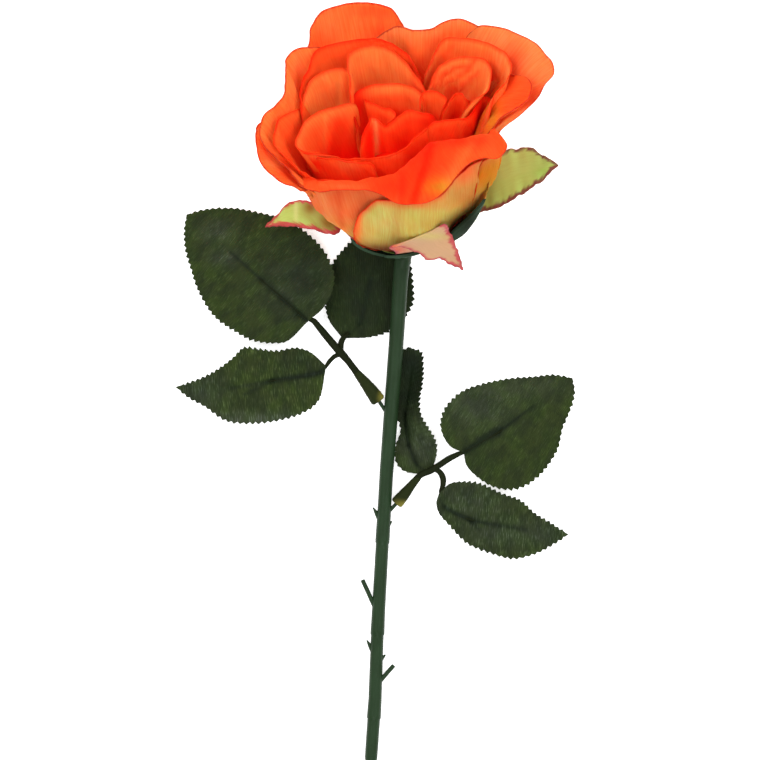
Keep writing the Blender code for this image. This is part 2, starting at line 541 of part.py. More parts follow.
def inside_bowl(right, rear, height, layer):
    """The petal point moved in, where it is low, so that its foot is inside the core."""
    radii, heights = np.array(BOWL).T
    radius = max(math.hypot(right, rear), 0.01)
    rearward = np.interp(rear / radius, REAR_SHARE, (0.0, 1.0))
    low, high = blend(np.array(FREE_ELSEWHERE), np.array(FREE_AT_REAR), rearward)
    freedom = np.interp(height, (low, high), (0.0, 1.0))
    clearance = np.interp(height, FREE_AT_REAR, (LOW_CLEARANCE, HIGH_CLEARANCE)) + layer
    limit = np.interp(height, heights, radii) - clearance + 60.0 * freedom ** 2
    scale = min(1.0, limit / radius)
    return right * scale, rear * scale, height


def settled(place, layer):
    """The place lifted where it would pass through the layer that it rests on, softly."""
    x, y, z = place
    floor = RESTING_HEIGHT + layer
    over = z - floor
    return np.array([x, y, floor + 0.5 * (over + math.hypot(over, RESTING_SOFTNESS))])


def petal_rows(shape, rows, columns, rim, layer):
    """Points of a petal: rows run from its root near the bloom's axis to its rim."""
    edge = smooth_line([(*seen_in_bloom(x, y, height), curl) for x, y, height, curl in rim], columns + 1)
    middle = edge[:, :2].mean(axis=0)
    root_middle = middle / max(np.linalg.norm(middle), 0.01) * PETAL_ROOT_RADIUS
    grid = np.empty((rows + 1, columns + 1, 3))
    for column, (right, rear, height, curl) in enumerate(edge):
        controls = blend(np.array(shape), np.array(CURLED), min(max(curl, 0.0), 1.0))
        tip = np.array([right, rear, height])
        root = np.array([*(root_middle + PETAL_SWING * (tip[:2] - middle)), PETAL_ROOT_HEIGHT])
        steps = [root]
        for reach, rise in controls:
            steps.append(np.array([*blend(root[:2], tip[:2], reach), rise * height]))
        steps.append(tip)
        end_share = min(column, columns - column) / columns / PETAL_CORNER
        corner = 1.0 - math.sqrt(1.0 - (1.0 - min(end_share, 1.0)) ** 2)
        for row in range(rows + 1):
            along = row / rows * (1.0 - PETAL_TUCK * corner)
            back = 1.0 - along
            point = (back ** 3 * steps[0] + 3 * back * back * along * steps[1]
                     + 3 * back * along * along * steps[2] + along ** 3 * steps[3])
            grid[row, column] = settled(in_bloom(*inside_bowl(*point, layer)), layer)
    return grid


def make_bloom():
    """All petals fused with a small core, flat where the bloom rests, with the hole for the pin."""
    pieces = [turned_in_bloom("core", CORE, CORE_SIDES)]
    for index, (name, shape, rows, columns, rim) in enumerate(PETALS):
        grid = petal_rows(shape, rows, columns, rim, index * LAYER_STEP)
        pieces.append(sheet(name, grid, PETAL_THICKNESS))
    bloom = keep_outer_skin(fused("bloom", pieces))
    hole = turned_in_bloom("hole", ((0.0, -8.0), (PIN_HOLE_RADIUS, -8.0), (PIN_HOLE_RADIUS, PIN_TOP + GAP),
                                    (0.0, PIN_TOP + GAP)), 16)
    with_boolean(bloom, [hole, below_surface()], "DIFFERENCE", "MANIFOLD")
    return keep_outer_skin(bloom)


def below_surface():
    """A block whose top is the surface that the rose lies on."""
    shape = bmesh.new()
    bmesh.ops.create_cube(shape, size=0.6)
    bmesh.ops.translate(shape, verts=shape.verts, vec=(0.0, 0.0, -0.3))
    mesh = bpy.data.meshes.new("below_surface")
    shape.to_mesh(mesh)
    shape.free()
    return add_object("below_surface", mesh)


def stem_height(y):
    return STEM_END_RADIUS + STEM_SLOPE * (DRAWING_HEIGHT - y) * MM_PER_UNIT


def make_stem():
    """The moulded stem with its collars, shoulder, neck pin, pegs and thorns."""
    points = [(*on_drawing(x, y, stem_height(y)), diameter / 2) for x, y, diameter in STEM_PATH]
    points += [(*in_bloom(0.0, 0.0, height), diameter / 2) for height, diameter in SHOULDER]
    pieces = [tube("stem", points, STEM_SIDES)]
    pin = [(*in_bloom(0.0, 0.0, PIN_FOOT), PIN_RADIUS), (*in_bloom(0.0, 0.0, PIN_TOP - 0.5), PIN_RADIUS),
           (*in_bloom(0.0, 0.0, PIN_TOP), PIN_RADIUS - 0.5)]
    pieces.append(tube("pin", pin, 12))
    for start, end, radius, rise in BARE_PEGS + SPRAY_PEGS:
        pieces.append(make_peg(start, end, radius, rise))
    for foot, tip, radius in THORNS:
        pieces.append(make_thorn(foot, tip, radius))
    return keep_outer_skin(fused("stem", pieces))


def make_peg(start, end, radius, rise):
    """A round peg with a softened end."""
    foot = on_drawing(*start, stem_height(start[1]))
    tip = on_drawing(*end, stem_height(end[1]) + rise)
    shoulder = tip - (tip - foot) / np.linalg.norm(tip - foot) * radius * 0.5
    return tube("peg", [(*foot, radius), (*shoulder, radius), (*tip, radius * 0.55)], PEG_SIDES)


def make_thorn(foot, tip, radius):
    """A thorn that narrows from its foot inside the stem to its tip."""
    start = on_drawing(*foot, stem_height(foot[1]))
    end = on_drawing(*tip, stem_height(tip[1]))
    middle = blend(start, end, 0.6)
    return tube("thorn", [(*start, radius), (*middle, radius * 0.6), (*end, THORN_TIP_RADIUS)], PEG_SIDES)


def lobe_reach(azimuth):
    """How far the cup reaches on the bowl in this direction, and how far its edge stands off."""
    reach = CUP_VALLEY
    stand_off = 0.0
    for middle, half_width, tip, stand in CUP_LOBES:
        away = abs((azimuth - middle + 180.0) % 360.0 - 180.0) / half_width
        if away < 1.0:
            share = (1.0 - away ** 2) ** 0.7
            reach = max(reach, blend(CUP_VALLEY, tip, share))
            stand_off = max(stand_off, stand * share)
    return reach, stand_off


def make_cup():
    """The plastic calyx cup: a dish with five lobes and a hole for the pin."""
    rows = []
    for row in range(CUP_ROWS + 1):
        along = row / CUP_ROWS
        ring = []
        for column in range(CUP_COLUMNS + 1):
            azimuth = 360.0 * (column % CUP_COLUMNS) / CUP_COLUMNS
            reach, stand_off = lobe_reach(azimuth)
            place = on_bowl(azimuth, blend(CUP_HOLE, reach, along ** CUP_ROW_SPREAD),
                            CUP_OFFSET + stand_off * along ** 2)
            ring.append(place)
        rows.append(ring)
    return sheet("calyx_cup", rows, CUP_THICKNESS)


def sepal_sheet(lines):
    """A sepal through its left edge, its middle and its right edge."""
    left, middle, right = [smooth_line(line, SEPAL_ROWS + 1) for line in lines]
    rows = [(a, blend(a, b, 0.5), b, blend(b, c, 0.5), c) for a, b, c in zip(left, middle, right)]
    rows = [[(x, y, max(z, SEPAL_THICKNESS / 2 + LEAST_HEIGHT)) for x, y, z in row] for row in rows]
    return sheet("sepal", rows, SEPAL_THICKNESS)


def seen_sepal(azimuth, places):
    """A sepal that the drawing shows: its foot follows the bowl, then it goes to the drawn places."""
    lines = [[], [], []]
    for reach, half_width in SEPAL_FOOT:
        for line, side in zip(lines, (-1, 0, 1)):
            line.append(on_bowl(azimuth + side * half_width, reach, SEPAL_OFFSET))
    for row in places:
        for line, place in zip(lines, row):
            line.append(in_bloom(*seen_in_bloom(*place)))
    return sepal_sheet(lines)


def hidden_sepal(azimuth, tip_azimuth, tip_reach, tip_height):
    """A sepal under the bloom, from the bowl outward to its tip."""
    lines = [[], [], []]
    for reach, half_width in SEPAL_FOOT:
        for line, side in zip(lines, (-1, 0, 1)):
            line.append(on_bowl(azimuth + side * half_width, reach, SEPAL_OFFSET))
    last_reach = SEPAL_FOOT[-1][0]
    last_height = np.interp(last_reach, *np.array(BOWL).T)
    for share, half_width in ((0.35, 16.0), (0.7, 9.0), (1.0, 0.0)):
        radius = blend(last_reach, tip_reach, share)
        height = blend(last_height, tip_height, share) - SEPAL_OFFSET
        for line, side in zip(lines, (-1, 0, 1)):
            turn = math.radians(blend(azimuth, tip_azimuth, share) + side * half_width)
            line.append(in_bloom(radius * math.sin(turn), -radius * math.cos(turn), height))
    return sepal_sheet(lines)


def make_sepals():
    """Five fabric sepals on one ring between the cup and the bloom."""
    ring = [[on_bowl(360.0 * (column % 20) / 20, reach, SEPAL_OFFSET) for column in range(21)]
            for reach in (2.1, 5.0, 9.5)]
    pieces = [sheet("sepal_ring", ring, SEPAL_THICKNESS)]
    pieces += [seen_sepal(*sepal) for sepal in (FRONT_SEPAL, RIGHT_SEPAL, LEFT_SEPAL)]
    pieces += [hidden_sepal(*sepal) for sepal in HIDDEN_SEPALS]
    return keep_outer_skin(fused("sepals", pieces))


def midrib(leaf, count):
    """Evenly spaced places on a leaf's midrib."""
    line = smooth_line(leaf["middle"], count)
    heights = leaf["heights"]
    known = np.linspace(0.0, 1.0, len(heights))
    rise = np.interp(np.linspace(0.0, 1.0, count), known, heights)
    return np.array([on_drawing(x, y, z) for (x, y), z in zip(line, rise)])


def leaf_edge(outline, middle, drop, count):
    """The toothed edge of a leaf, level with the midrib at both ends."""
    edge = []
    for row, (x, y) in enumerate(smooth_line(outline, count)):
        share = row / (count - 1)
        spread = math.sin(math.pi * share) ** (0.8 if drop > 0 else 1.6)
        place = on_drawing(x, y, middle[row][2] - drop * spread)
        outward = place - middle[row]
        outward[2] = 0.0
        width = np.linalg.norm(outward)
        if row % 2 and width > 1.0:
            place = place + outward / width * TOOTH_DEPTH
        edge.append(place)
    return edge


def make_leaf(name):
    """A leaf blade with a toothed edge on both sides of its midrib."""
    leaf = LEAVES[name]
    count = 2 * LEAF_TEETH + 1
    middle = midrib(leaf, count)
    left = leaf_edge(leaf["left"], middle, leaf["drops"][0], count)
    right = leaf_edge(leaf["right"], middle, leaf["drops"][1], count)
    rows = []
    for a, b, c in zip(left, middle, right):
        row = (a, blend(a, b, 0.5), b, blend(b, c, 0.5), c)
        rows.append([(x, y, max(z, LEAF_THICKNESS / 2 + LEAST_HEIGHT)) for x, y, z in row])
    return sheet(name, rows, LEAF_THICKNESS)


def make_rib(name, foot, start, end):
    """A thin rib from a stalk's end along the underside of a leaf's midrib, clear of the blade."""
    line = midrib(LEAVES[name], 41)
    first, last = round(40 * start), round(40 * end)
    clear = LEAF_THICKNESS / 2 + GAP + RIB_RADIUS + 0.05
    x, y, height, radius = foot
    points = [(*on_drawing(x, y, height), radius)]
    for index in np.linspace(first, last, 5).round().astype(int):
        x, y, z = line[index]
        radius = blend(RIB_RADIUS, RIB_TIP_RADIUS, (index - first) / (last - first))
        points.append((x, y, z - clear, radius))
    return tube("rib", points, PEG_SIDES)


def make_stalks(name, sleeve, stalks, ribs, peg):
    """A branched leaf stalk: a sleeve with a blind hole for the stem's peg, stalks and ribs."""
    pieces = [drawn_tube(name, sleeve, 12)]
    pieces += [drawn_tube("stalk", stalk, PEG_SIDES) for stalk in stalks]
    pieces += [make_rib(leaf, stalks[index][-1], start, end) for leaf, index, start, end in ribs]
    body = fused(name, pieces)
    start, end, radius, rise = peg
    foot = on_drawing(*start, stem_height(start[1]))
    tip = on_drawing(*end, stem_height(end[1]) + rise)
    past = tip + (tip - foot) / np.linalg.norm(tip - foot) * GAP
    hole = tube("hole", [(*foot, SLEEVE_HOLE_RADIUS), (*past, SLEEVE_HOLE_RADIUS)], 12)
    with_boolean(body, [hole], "DIFFERENCE", "MANIFOLD")
    return keep_outer_skin(body)


def material(name, colour, roughness):
    surface = bpy.data.materials.new(name)
    surface.use_nodes = True
    shader = surface.node_tree.nodes["Principled BSDF"]
    shader.inputs["Base Color"].default_value = (*colour, 1.0)
    shader.inputs["Roughness"].default_value = roughness
    return surface


def finish(obj, surface):
    """Gives a body its material and shades its rounded faces smoothly."""
    obj.data.materials.clear()
    obj.data.materials.append(surface)
    obj.data.shade_smooth()
    obj.data.set_sharp_from_angle(angle=math.radians(40))


def main():
    for obj in list(bpy.data.objects):
        bpy.data.objects.remove(obj)
    bpy.context.scene.collection.children.link(bpy.data.collections.new("rose"))
    finish(make_bloom(), material("petal_fabric", PETAL_COLOUR, 0.7))
    finish(make_sepals(), material("sepal_fabric", SEPAL_COLOUR, 0.7))
    finish(make_cup(), material("cup_plastic", CUP_COLOUR, 0.45))
    finish(make_stem(), material("stem_plastic", STEM_COLOUR, 0.45))
    stalk_plastic = material("stalk_plastic", STEM_COLOUR, 0.45)
    finish(make_stalks("leaf_stalk_left", LEFT_SLEEVE, LEFT_STALKS, LEFT_RIBS, SPRAY_PEGS[0]), stalk_plastic)
    finish(make_stalks("leaf_stalk_right", RIGHT_SLEEVE, RIGHT_STALKS, RIGHT_RIBS, SPRAY_PEGS[1]), stalk_plastic)
    leaf_fabric = material("leaf_fabric", LEAF_COLOUR, 0.6)
    for name in LEAVES:
        finish(make_leaf(name), leaf_fabric)


main()
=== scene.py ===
"""The looks of an artificial rose that lies on its back, seen from straight above.

Lengths are in millimetres and become metres when a mesh is made. X is to the right, +Y runs from
the cut end of the stem to the bloom, and +Z is up from the surface that the rose lies on.
Places in the plane of the rose are given on a drawing seen from above, with y running down.
"""

import math

import bmesh
import bpy
import numpy as np
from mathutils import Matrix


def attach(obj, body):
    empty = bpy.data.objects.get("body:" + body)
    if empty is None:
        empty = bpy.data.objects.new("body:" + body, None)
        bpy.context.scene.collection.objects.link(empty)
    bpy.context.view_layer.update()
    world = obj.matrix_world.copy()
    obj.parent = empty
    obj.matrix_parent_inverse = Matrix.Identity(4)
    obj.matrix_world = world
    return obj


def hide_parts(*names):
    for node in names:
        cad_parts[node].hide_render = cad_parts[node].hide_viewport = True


METRES_PER_MM = 0.001

# The drawing: the rose is 285 mm long and fills its 760 units of height
ROSE_LENGTH = 285.0
DRAWING_HEIGHT = 760
ORIGIN_ON_DRAWING = (375.59, 380.86)
MM_PER_UNIT = ROSE_LENGTH / DRAWING_HEIGHT

# The camera looks straight down from far away, and its scale is right at the scale height
PICTURE_MIDDLE = (380.0, 380.0)
CAMERA_LENS = 1200.0
SENSOR_WIDTH = 36.0
SCALE_HEIGHT = 30.0

# The stem lies nearly flat, and the axis of the bloom bends up and a little to the left
STEM_END_RADIUS = 2.3
STEM_SLOPE = 0.025
BLOOM_RISE = math.radians(38)
BLOOM_TILT = math.radians(8)
BLOOM_BASE = (403, 251)
BLOOM_BASE_HEIGHT = 9.5

# Thicknesses of cloth and plastic, and the least height over the surface
PETAL_THICKNESS = 0.34
SEPAL_THICKNESS = 0.4
CUP_THICKNESS = 1.0
LEAF_THICKNESS = 0.4
LEAST_HEIGHT = 0.01
# The distance to the edge that is stored where the cloth shows none
NO_EDGE = 9.0

# Each kind of piece draws its random values from its own seed
PETAL_SEED = 100
SEPAL_SEED = 300
LEAF_SEED = 500
STEM_SEED = 700
STALK_SEED = 800
WAVE_STRETCH = (0.85, 1.2)

# The bowl that the bloom sits in, as radius and height above the base
BOWL = ((0.0, 4.2), (4.0, 4.5), (10.0, 7.5), (15.0, 11.5), (20.0, 16.0), (24.0, 21.0), (28.0, 27.0),
        (31.0, 32.0))
# The bowl is fuller on one side: direction in degrees from the front to the right, half width, extra radius
BULGE = (70.0, 60.0, 6.5)
BULGE_HEIGHTS = (5.0, 15.0)
SEPAL_OFFSET = 0.65
CUP_OFFSET = 1.85
# Petals leave the bowl between these heights, lower at the rear than elsewhere, and then reach further
# out. The rear is where this share of a place's distance from the axis points back
FREE_AT_REAR = (16.0, 24.0)
FREE_ELSEWHERE = (31.0, 42.0)
FREE_REACH = 60.0
REAR_SHARE = (0.35, 0.8)

# The core that holds the petals' feet, its pleats as count and depth, and the heights where its dye turns red
CORE = ((0.0, 4.5), (4.0, 4.8), (10.0, 8.0), (14.5, 12.0), (17.5, 16.0), (19.5, 22.0), (19.0, 30.0),
        (14.0, 37.0), (7.0, 42.0), (0.0, 43.5))
CORE_ROWS = 60
CORE_COLUMNS = 144
CORE_PLEATS = ((17, 0.03), (31, 0.02))
CORE_BLUSH = (12.0, 20.0)

# Petals: the root, the corners of the rim, and how softly they settle on the surface
PETAL_ROOT_RADIUS = 4.0
PETAL_ROOT_HEIGHT = 6.5
PETAL_SWING = 0.06
LOW_CLEARANCE = 1.2
HIGH_CLEARANCE = 0.3
PETAL_TUCK = 0.25
PETAL_CORNER = 0.16
SQUARE_CORNER = 0.05
SQUARE_PETALS = ("guard_front", "guard_right")
RESTING_HEIGHT = 0.3
RESTING_SOFTNESS = 1.0
# Each petal lies a little above the one before, and some lie higher or lower still
LAYER_STEP = 0.13
EXTRA_LAYER = {"guard_front": -1.5, "front_fold": 1.8, "guard_right": 1.8}

# The fine cloth of a petal: steps of its mesh, the rolled rim, and ripples and long soft folds as
# length and height, each with the shares of the petal's length between which it rises
PETAL_ROWS = 52
PETAL_STEP = 0.72
LEAST_PETAL_COLUMNS = 24
ROLL_WIDTH = 3.2
ROLL_DEPTH = 0.45
ROLL_START = (0.35, 0.75)
RIPPLES = ((24.0, 0.40), (12.0, 0.14))
RIPPLE_START = (0.55, 1.0)
FOLDS = ((17.0, 0.32), (8.0, 0.17), (4.0, 0.08))
FOLD_START = (0.45, 0.75)
FOLD_SLANT = 2.0

# How a petal runs from its root to its rim: two control points, each a share of the rim's
# distance from the axis and of its height
PLAIN = ((0.52, 0.15), (0.76, 0.55))
OPEN = ((0.55, 0.14), (0.80, 0.52))
GUARD = ((0.60, 0.17), (0.90, 0.56))
REAR = ((0.60, 0.12), (0.84, 0.48))
CURLED = ((0.42, 0.25), (0.60, 1.12))
# A folded petal goes through two places under its crest, given in the same way, and through its crest.
# Between crest and rim it is lifted a little, fully where that part is long
FOLDED = ((0.50, 0.22), (0.56, 0.66))
FOLD_MIDDLE = 0.5
FOLD_LIFT = 1.2
FULL_LIFT_LENGTH = 10.0

# Each petal: name, shape, and its rim as x, y, the height over the bloom's base and, where it has one, its
# curl from 0 to 1. A folded petal has the x, y and height of its rim and then of its crest
PETALS = (
    ("back_left", REAR, (
        (296, 74, 52), (300, 62, 58), (309, 42, 64), (312, 25, 69), (320, 13, 71), (338, 5, 72),
        (360, 1, 73), (382, 5, 72), (397, 16, 70), (407, 34, 65), (412, 52, 58))),
    ("back_middle", REAR, (
        (350, 64, 52), (362, 50, 58), (372, 41, 62), (381, 34, 65.5), (390, 28, 67.5), (397, 25, 68),
        (405, 27, 68), (413, 30.5, 68), (422, 30.5, 68), (432, 28, 68), (445, 21, 69), (457, 18, 70),
        (471, 22, 69), (486, 32, 67), (497, 50, 61), (500, 66, 54))),
    ("back_right", PLAIN, (
        (452, 58, 56), (462, 42, 62, 0.1), (470, 31, 66, 0.2), (480, 25, 69, 0.3), (505, 28, 69, 0.5),
        (520, 34, 69, 0.6), (535, 42, 68, 0.7), (546, 54, 67, 0.8), (553, 64, 65, 0.9), (554, 75, 62, 0.9),
        (545, 86, 59, 0.9), (539, 97, 56, 0.9), (528, 108, 53, 0.9), (515, 121, 50, 0.9),
        (506, 132, 46, 0.8), (500, 142, 42, 0.5))),
    ("left", OPEN, (
        (356, 62, 54), (340, 54, 60), (325, 47, 65), (308, 47, 67, 0.1), (295, 49, 67, 0.25),
        (286, 60, 66, 0.35), (286, 74, 65, 0.35), (284, 95, 63, 0.35), (275, 106, 62, 0.35),
        (265, 114, 61, 0.4), (260, 126, 59, 0.5), (260, 137, 57, 0.6), (268, 148, 55, 0.6),
        (278, 159.5, 53.5, 0.55), (288, 170, 52, 0.5), (298, 179.5, 50.5, 0.4), (310, 186.5, 49.5, 0.3),
        (322, 189, 46, 0.1))),
    ("left_low", OPEN, (
        (268, 112, 52, 0.2), (259, 124, 54, 0.3), (255, 133, 55, 0.4), (257, 147, 54, 0.6),
        (261, 163, 53, 0.8), (270, 174, 52, 0.7), (285, 183.5, 50, 0.6), (300, 190, 47, 0.5),
        (312, 193, 42, 0.3))),
    ("guard_front_left", GUARD, (
        (302, 180, 43), (309, 186, 48), (320, 188.5, 50), (335, 188.5, 50), (352, 188.5, 50),
        (370, 189, 50), (384, 194, 48), (396, 202, 42))),
    ("guard_front", GUARD, (
        (353, 236, 24), (355, 226, 32), (358, 217, 37), (366, 208, 42), (378, 199, 46), (392, 200, 46.5),
        (405, 203, 47), (420, 202, 47), (440, 193, 47.5), (455, 179, 49), (470, 166, 50), (484, 157, 50),
        (491, 157, 47.5), (492, 165, 44), (490, 176, 40))),
    ("guard_right", GUARD, (
        (478, 161, 50), (486, 157, 50), (493, 154, 49.5), (499, 151, 48.5), (502, 147, 47), (502, 152, 43),
        (498, 162, 38), (494, 173, 33), (490, 184, 28))),
    ("front_fold", FOLDED, (
        (297, 186, 45, 303, 177, 41), (308, 190, 49, 312, 178, 48.5), (320, 191.5, 52, 321, 180.5, 53),
        (336, 191, 52, 337, 182.5, 53), (352, 191, 52, 353, 182, 53.5), (368, 191, 52, 368, 180, 54),
        (380, 195, 51, 380, 177.5, 55), (394, 203, 50, 393, 173.5, 56), (409, 206, 50, 404, 168, 57),
        (425, 204, 50, 414, 160, 58), (438, 197, 50, 423, 151, 58.5), (450, 185, 51, 432, 144.5, 59),
        (460, 173, 52, 442, 141.5, 59), (470, 164, 53, 452, 140, 58.5), (483, 159, 54, 463, 139, 58),
        (494, 159, 54, 472, 138, 57.5), (503, 154, 54, 480, 136.5, 57), (507, 147, 55, 487, 134, 56.5),
        (504, 139, 56, 491, 131, 56), (498, 134, 56, 493, 130, 55), (492, 131, 54, 490, 128, 53))),
    ("middle_back_left", PLAIN, (
        (298, 132, 48), (299, 122, 53), (300, 112, 57), (303, 88, 61), (308, 68, 64), (315, 52, 66),
        (325, 46, 67), (340, 42, 67), (358, 39, 67), (376, 38, 67), (388, 42, 67), (400, 50, 66),
        (412, 61, 64), (423, 74, 60), (430, 86, 54))),
    ("middle_left", PLAIN, (
        (300, 128, 50), (301, 112, 56), (304, 95, 60), (310, 82, 62), (320, 73, 63), (333, 69, 63.5),
        (343, 69, 63), (349, 72, 61.5), (351, 81, 59), (352, 92, 56), (353, 104, 52))),
    ("middle_back", PLAIN, (
        (354, 116, 51), (352, 104, 57), (351, 94, 60), (350, 83, 62.5), (349, 70, 65), (350, 56, 66),
        (357, 48, 66), (369, 45, 66), (381, 46, 66), (392, 51, 66), (402, 60, 65), (411, 70, 64),
        (420, 82, 61), (428, 91, 58), (434, 100, 52))),
    ("middle_front_left", PLAIN, (
        (358, 96, 54), (352, 102, 57), (338, 107, 58), (322, 111, 58), (309, 118, 57), (301, 129, 56),
        (298, 142, 55), (303, 150, 54), (318, 154, 54), (336, 156, 53), (350, 156, 51))),
    ("centre_front", PLAIN, (
        (296, 144, 50), (303, 150, 53), (315, 154, 54), (330, 156, 54), (350, 158, 54), (366, 158, 54),
        (380, 157, 54), (393, 154, 55), (404, 148, 56), (412, 139, 57), (420, 132, 57.5),
        (430, 127.5, 56.5), (440, 126, 52))),
    ("centre_top", PLAIN, (
        (353, 128, 49), (353, 114, 53), (354, 102, 56), (359, 92, 58), (367, 87, 59), (378, 84, 60),
        (392, 84, 60), (405, 85, 60), (414, 89, 60), (420, 95, 59), (423, 103, 57), (423, 112, 53))),
    ("centre_small", PLAIN, (
        (362, 98, 50), (365, 100, 55), (372, 104, 57), (382, 107, 57), (390, 110, 57), (393, 115, 56),
        (389, 121, 54), (383, 126, 50))),
    ("centre_swirl", PLAIN, (
        (358, 156, 44), (360, 146, 50), (362, 138, 53), (366, 129, 55), (373, 121, 57), (377, 122, 56),
        (384, 126, 55), (391, 123, 56), (399, 117, 57), (408, 112, 58), (418, 113, 58), (428, 114, 58),
        (437, 118, 57), (443, 125, 54))),
    ("centre_round", PLAIN, (
        (422, 118, 50), (421, 108, 56), (421, 100, 58), (424, 93, 59), (432, 92, 59), (441, 95, 59),
        (446, 99, 58), (443, 108, 56), (437, 115, 53))),
    ("centre_right_small", PLAIN, (
        (438, 122, 52), (442, 114, 55), (447, 106, 57), (452, 98, 58), (457, 93, 59), (463, 93, 59),
        (466, 98, 57), (466, 106, 52))),
    ("right_middle", PLAIN, (
        (420, 86, 54), (424, 76, 60), (430, 62, 63), (437, 49, 65), (446, 39, 67), (460, 38, 67.5),
        (475, 39, 68), (487, 43, 68), (498, 48, 68), (506, 55, 68), (509, 64, 67.5), (508, 75, 66.5),
        (503, 85, 65), (497, 93, 63), (492, 101, 61), (488, 111, 58), (486, 123, 54), (484, 136, 49))),
    ("right_inner", PLAIN, (
        (424, 90, 56), (428, 82, 60), (436, 72.5, 63), (445, 64, 65), (454, 58.5, 66), (466, 57, 66),
        (478, 57.5, 66), (486, 61, 65.5), (490, 68, 65, 0.1), (490, 77, 64, 0.2), (487, 86, 63, 0.35),
        (480, 94, 61.5, 0.45), (472, 101, 60, 0.5), (465, 107, 58, 0.5))),
    ("right_outer", FOLDED, (
        (507, 76, 62, 503, 77, 60.5), (516, 75, 63.5, 503, 79, 60), (525, 77, 64, 502, 83, 59.5),
        (530, 82, 64, 500, 88, 58.5), (532, 89, 63.5, 496, 94, 57), (528, 97, 62.5, 491, 101, 56),
        (521, 103, 61, 488, 107, 55), (510, 111, 59.5, 486, 114, 54), (499, 121, 57.5, 485, 122, 52.5),
        (490, 131, 55, 484, 130, 50.5), (482, 141, 51, 481, 138, 47))),
    ("front_right_inner", PLAIN, (
        (416, 140, 50), (424, 131, 55), (432, 125, 58), (443, 122, 58), (455, 121, 58), (465, 118, 57.5),
        (474, 110, 57.5), (481, 102, 57.5), (487, 98, 57), (491, 104, 56), (492, 116, 54), (491, 128, 51.5),
        (488, 138, 48), (484, 146, 44))),
    ("front_inner", PLAIN, (
        (288, 158, 48), (299, 169, 51), (313, 176, 52), (332, 181, 52.5), (352, 182, 52.5), (372, 180, 53),
        (393, 175, 54), (408, 167, 55), (418, 155, 57), (427, 145, 57), (440, 141, 57), (458, 138, 57),
        (474, 136, 56))),
    ("front_small", PLAIN, (
        (314, 156, 50), (321, 157, 53.5), (332, 159, 54.5), (345, 161, 55), (360, 161, 55),
        (370, 162, 54.5), (375, 166, 53), (377, 174, 49))),
    ("left_inner", PLAIN, (
        (310, 104, 52), (299, 109, 57), (288, 113, 59, 0.1), (279, 120, 60, 0.2), (275, 130, 59, 0.25),
        (277, 143, 57, 0.25), (285, 156, 55, 0.2), (296, 167, 53, 0.1), (308, 175, 50))),
)

# Dyes of the petal cloth
# Deep red is the dye near the roots and, in the marks, painted shade in folds; shaded red is painted shade
DEEP_RED = (0.97, 0.008, 0.001)
SHADED_RED = (0.76, 0.006, 0.001)
SCARLET = (0.99, 0.024, 0.004)
VERMILION = (0.99, 0.057, 0.009)
RED_ORANGE = (0.98, 0.083, 0.014)
ORANGE = (0.98, 0.112, 0.019)
BRIGHT_ORANGE = (0.93, 0.185, 0.038)
PEACH = (0.88, 0.225, 0.062)
DULL_PEACH = (0.62, 0.125, 0.035)
DULL_ORANGE = (0.70, 0.110, 0.028)
DULL_RED = (0.58, 0.055, 0.014)
# Painted shadow where the front petals meet the cup and beside the cup's lobe
PAINTED_SHADOW_BROWN = (0.07, 0.028, 0.009)
AMBER = (0.50, 0.165, 0.009)
DARK_AMBER = (0.38, 0.15, 0.007)
KHAKI = (0.36, 0.17, 0.035)
OCHRE = (0.42, 0.24, 0.045)
LIME = (0.47, 0.39, 0.088)
RIM_RED = (0.36, 0.020, 0.010)

# Each petal's dye at its rim, its belly and its root, and how far in mm from the rim the belly and
# the root begin. The red towards the root is partly the cloth's own dye and partly painted shade deep
# in the bloom
PETAL_DYES = {
    "back_left": (BRIGHT_ORANGE, BRIGHT_ORANGE, VERMILION, 12, 40),
    "back_middle": (PEACH, BRIGHT_ORANGE, VERMILION, 8, 34),
    "back_right": (PEACH, PEACH, VERMILION, 12, 34),
    "left": (BRIGHT_ORANGE, BRIGHT_ORANGE, VERMILION, 14, 34),
    "left_low": (BRIGHT_ORANGE, PEACH, ORANGE, 8, 30),
    "guard_front_left": (DULL_PEACH, DULL_PEACH, LIME, 12, 34),
    "guard_front": (DULL_PEACH, LIME, LIME, 5, 30),
    "guard_right": (DULL_PEACH, AMBER, LIME, 8, 30),
    "front_fold": (RED_ORANGE, VERMILION, SCARLET, 10, 22),
    "middle_back_left": (RED_ORANGE, ORANGE, SCARLET, 8, 34),
    "middle_left": (BRIGHT_ORANGE, BRIGHT_ORANGE, SCARLET, 12, 32),
    "middle_back": (BRIGHT_ORANGE, BRIGHT_ORANGE, DEEP_RED, 12, 26),
    "middle_front_left": (BRIGHT_ORANGE, ORANGE, DEEP_RED, 8, 22),
    "centre_front": (ORANGE, VERMILION, SCARLET, 5, 18),
    "centre_top": (BRIGHT_ORANGE, ORANGE, DEEP_RED, 7, 15),
    "centre_small": (ORANGE, VERMILION, DEEP_RED, 6, 12),
    "centre_swirl": (ORANGE, VERMILION, SCARLET, 5, 14),
    "centre_round": (ORANGE, ORANGE, SCARLET, 6, 13),
    "centre_right_small": (ORANGE, VERMILION, DEEP_RED, 5, 14),
    "right_middle": (BRIGHT_ORANGE, ORANGE, DEEP_RED, 14, 28),
    "right_inner": (BRIGHT_ORANGE, BRIGHT_ORANGE, SCARLET, 10, 26),
    "right_outer": (RED_ORANGE, ORANGE, AMBER, 10, 26),
    "front_right_inner": (ORANGE, VERMILION, SCARLET, 5, 16),
    "front_inner": (ORANGE, VERMILION, VERMILION, 5, 18),
    "front_small": (ORANGE, VERMILION, SCARLET, 6, 14),
    "left_inner": (ORANGE, RED_ORANGE, SCARLET, 7, 28),
}

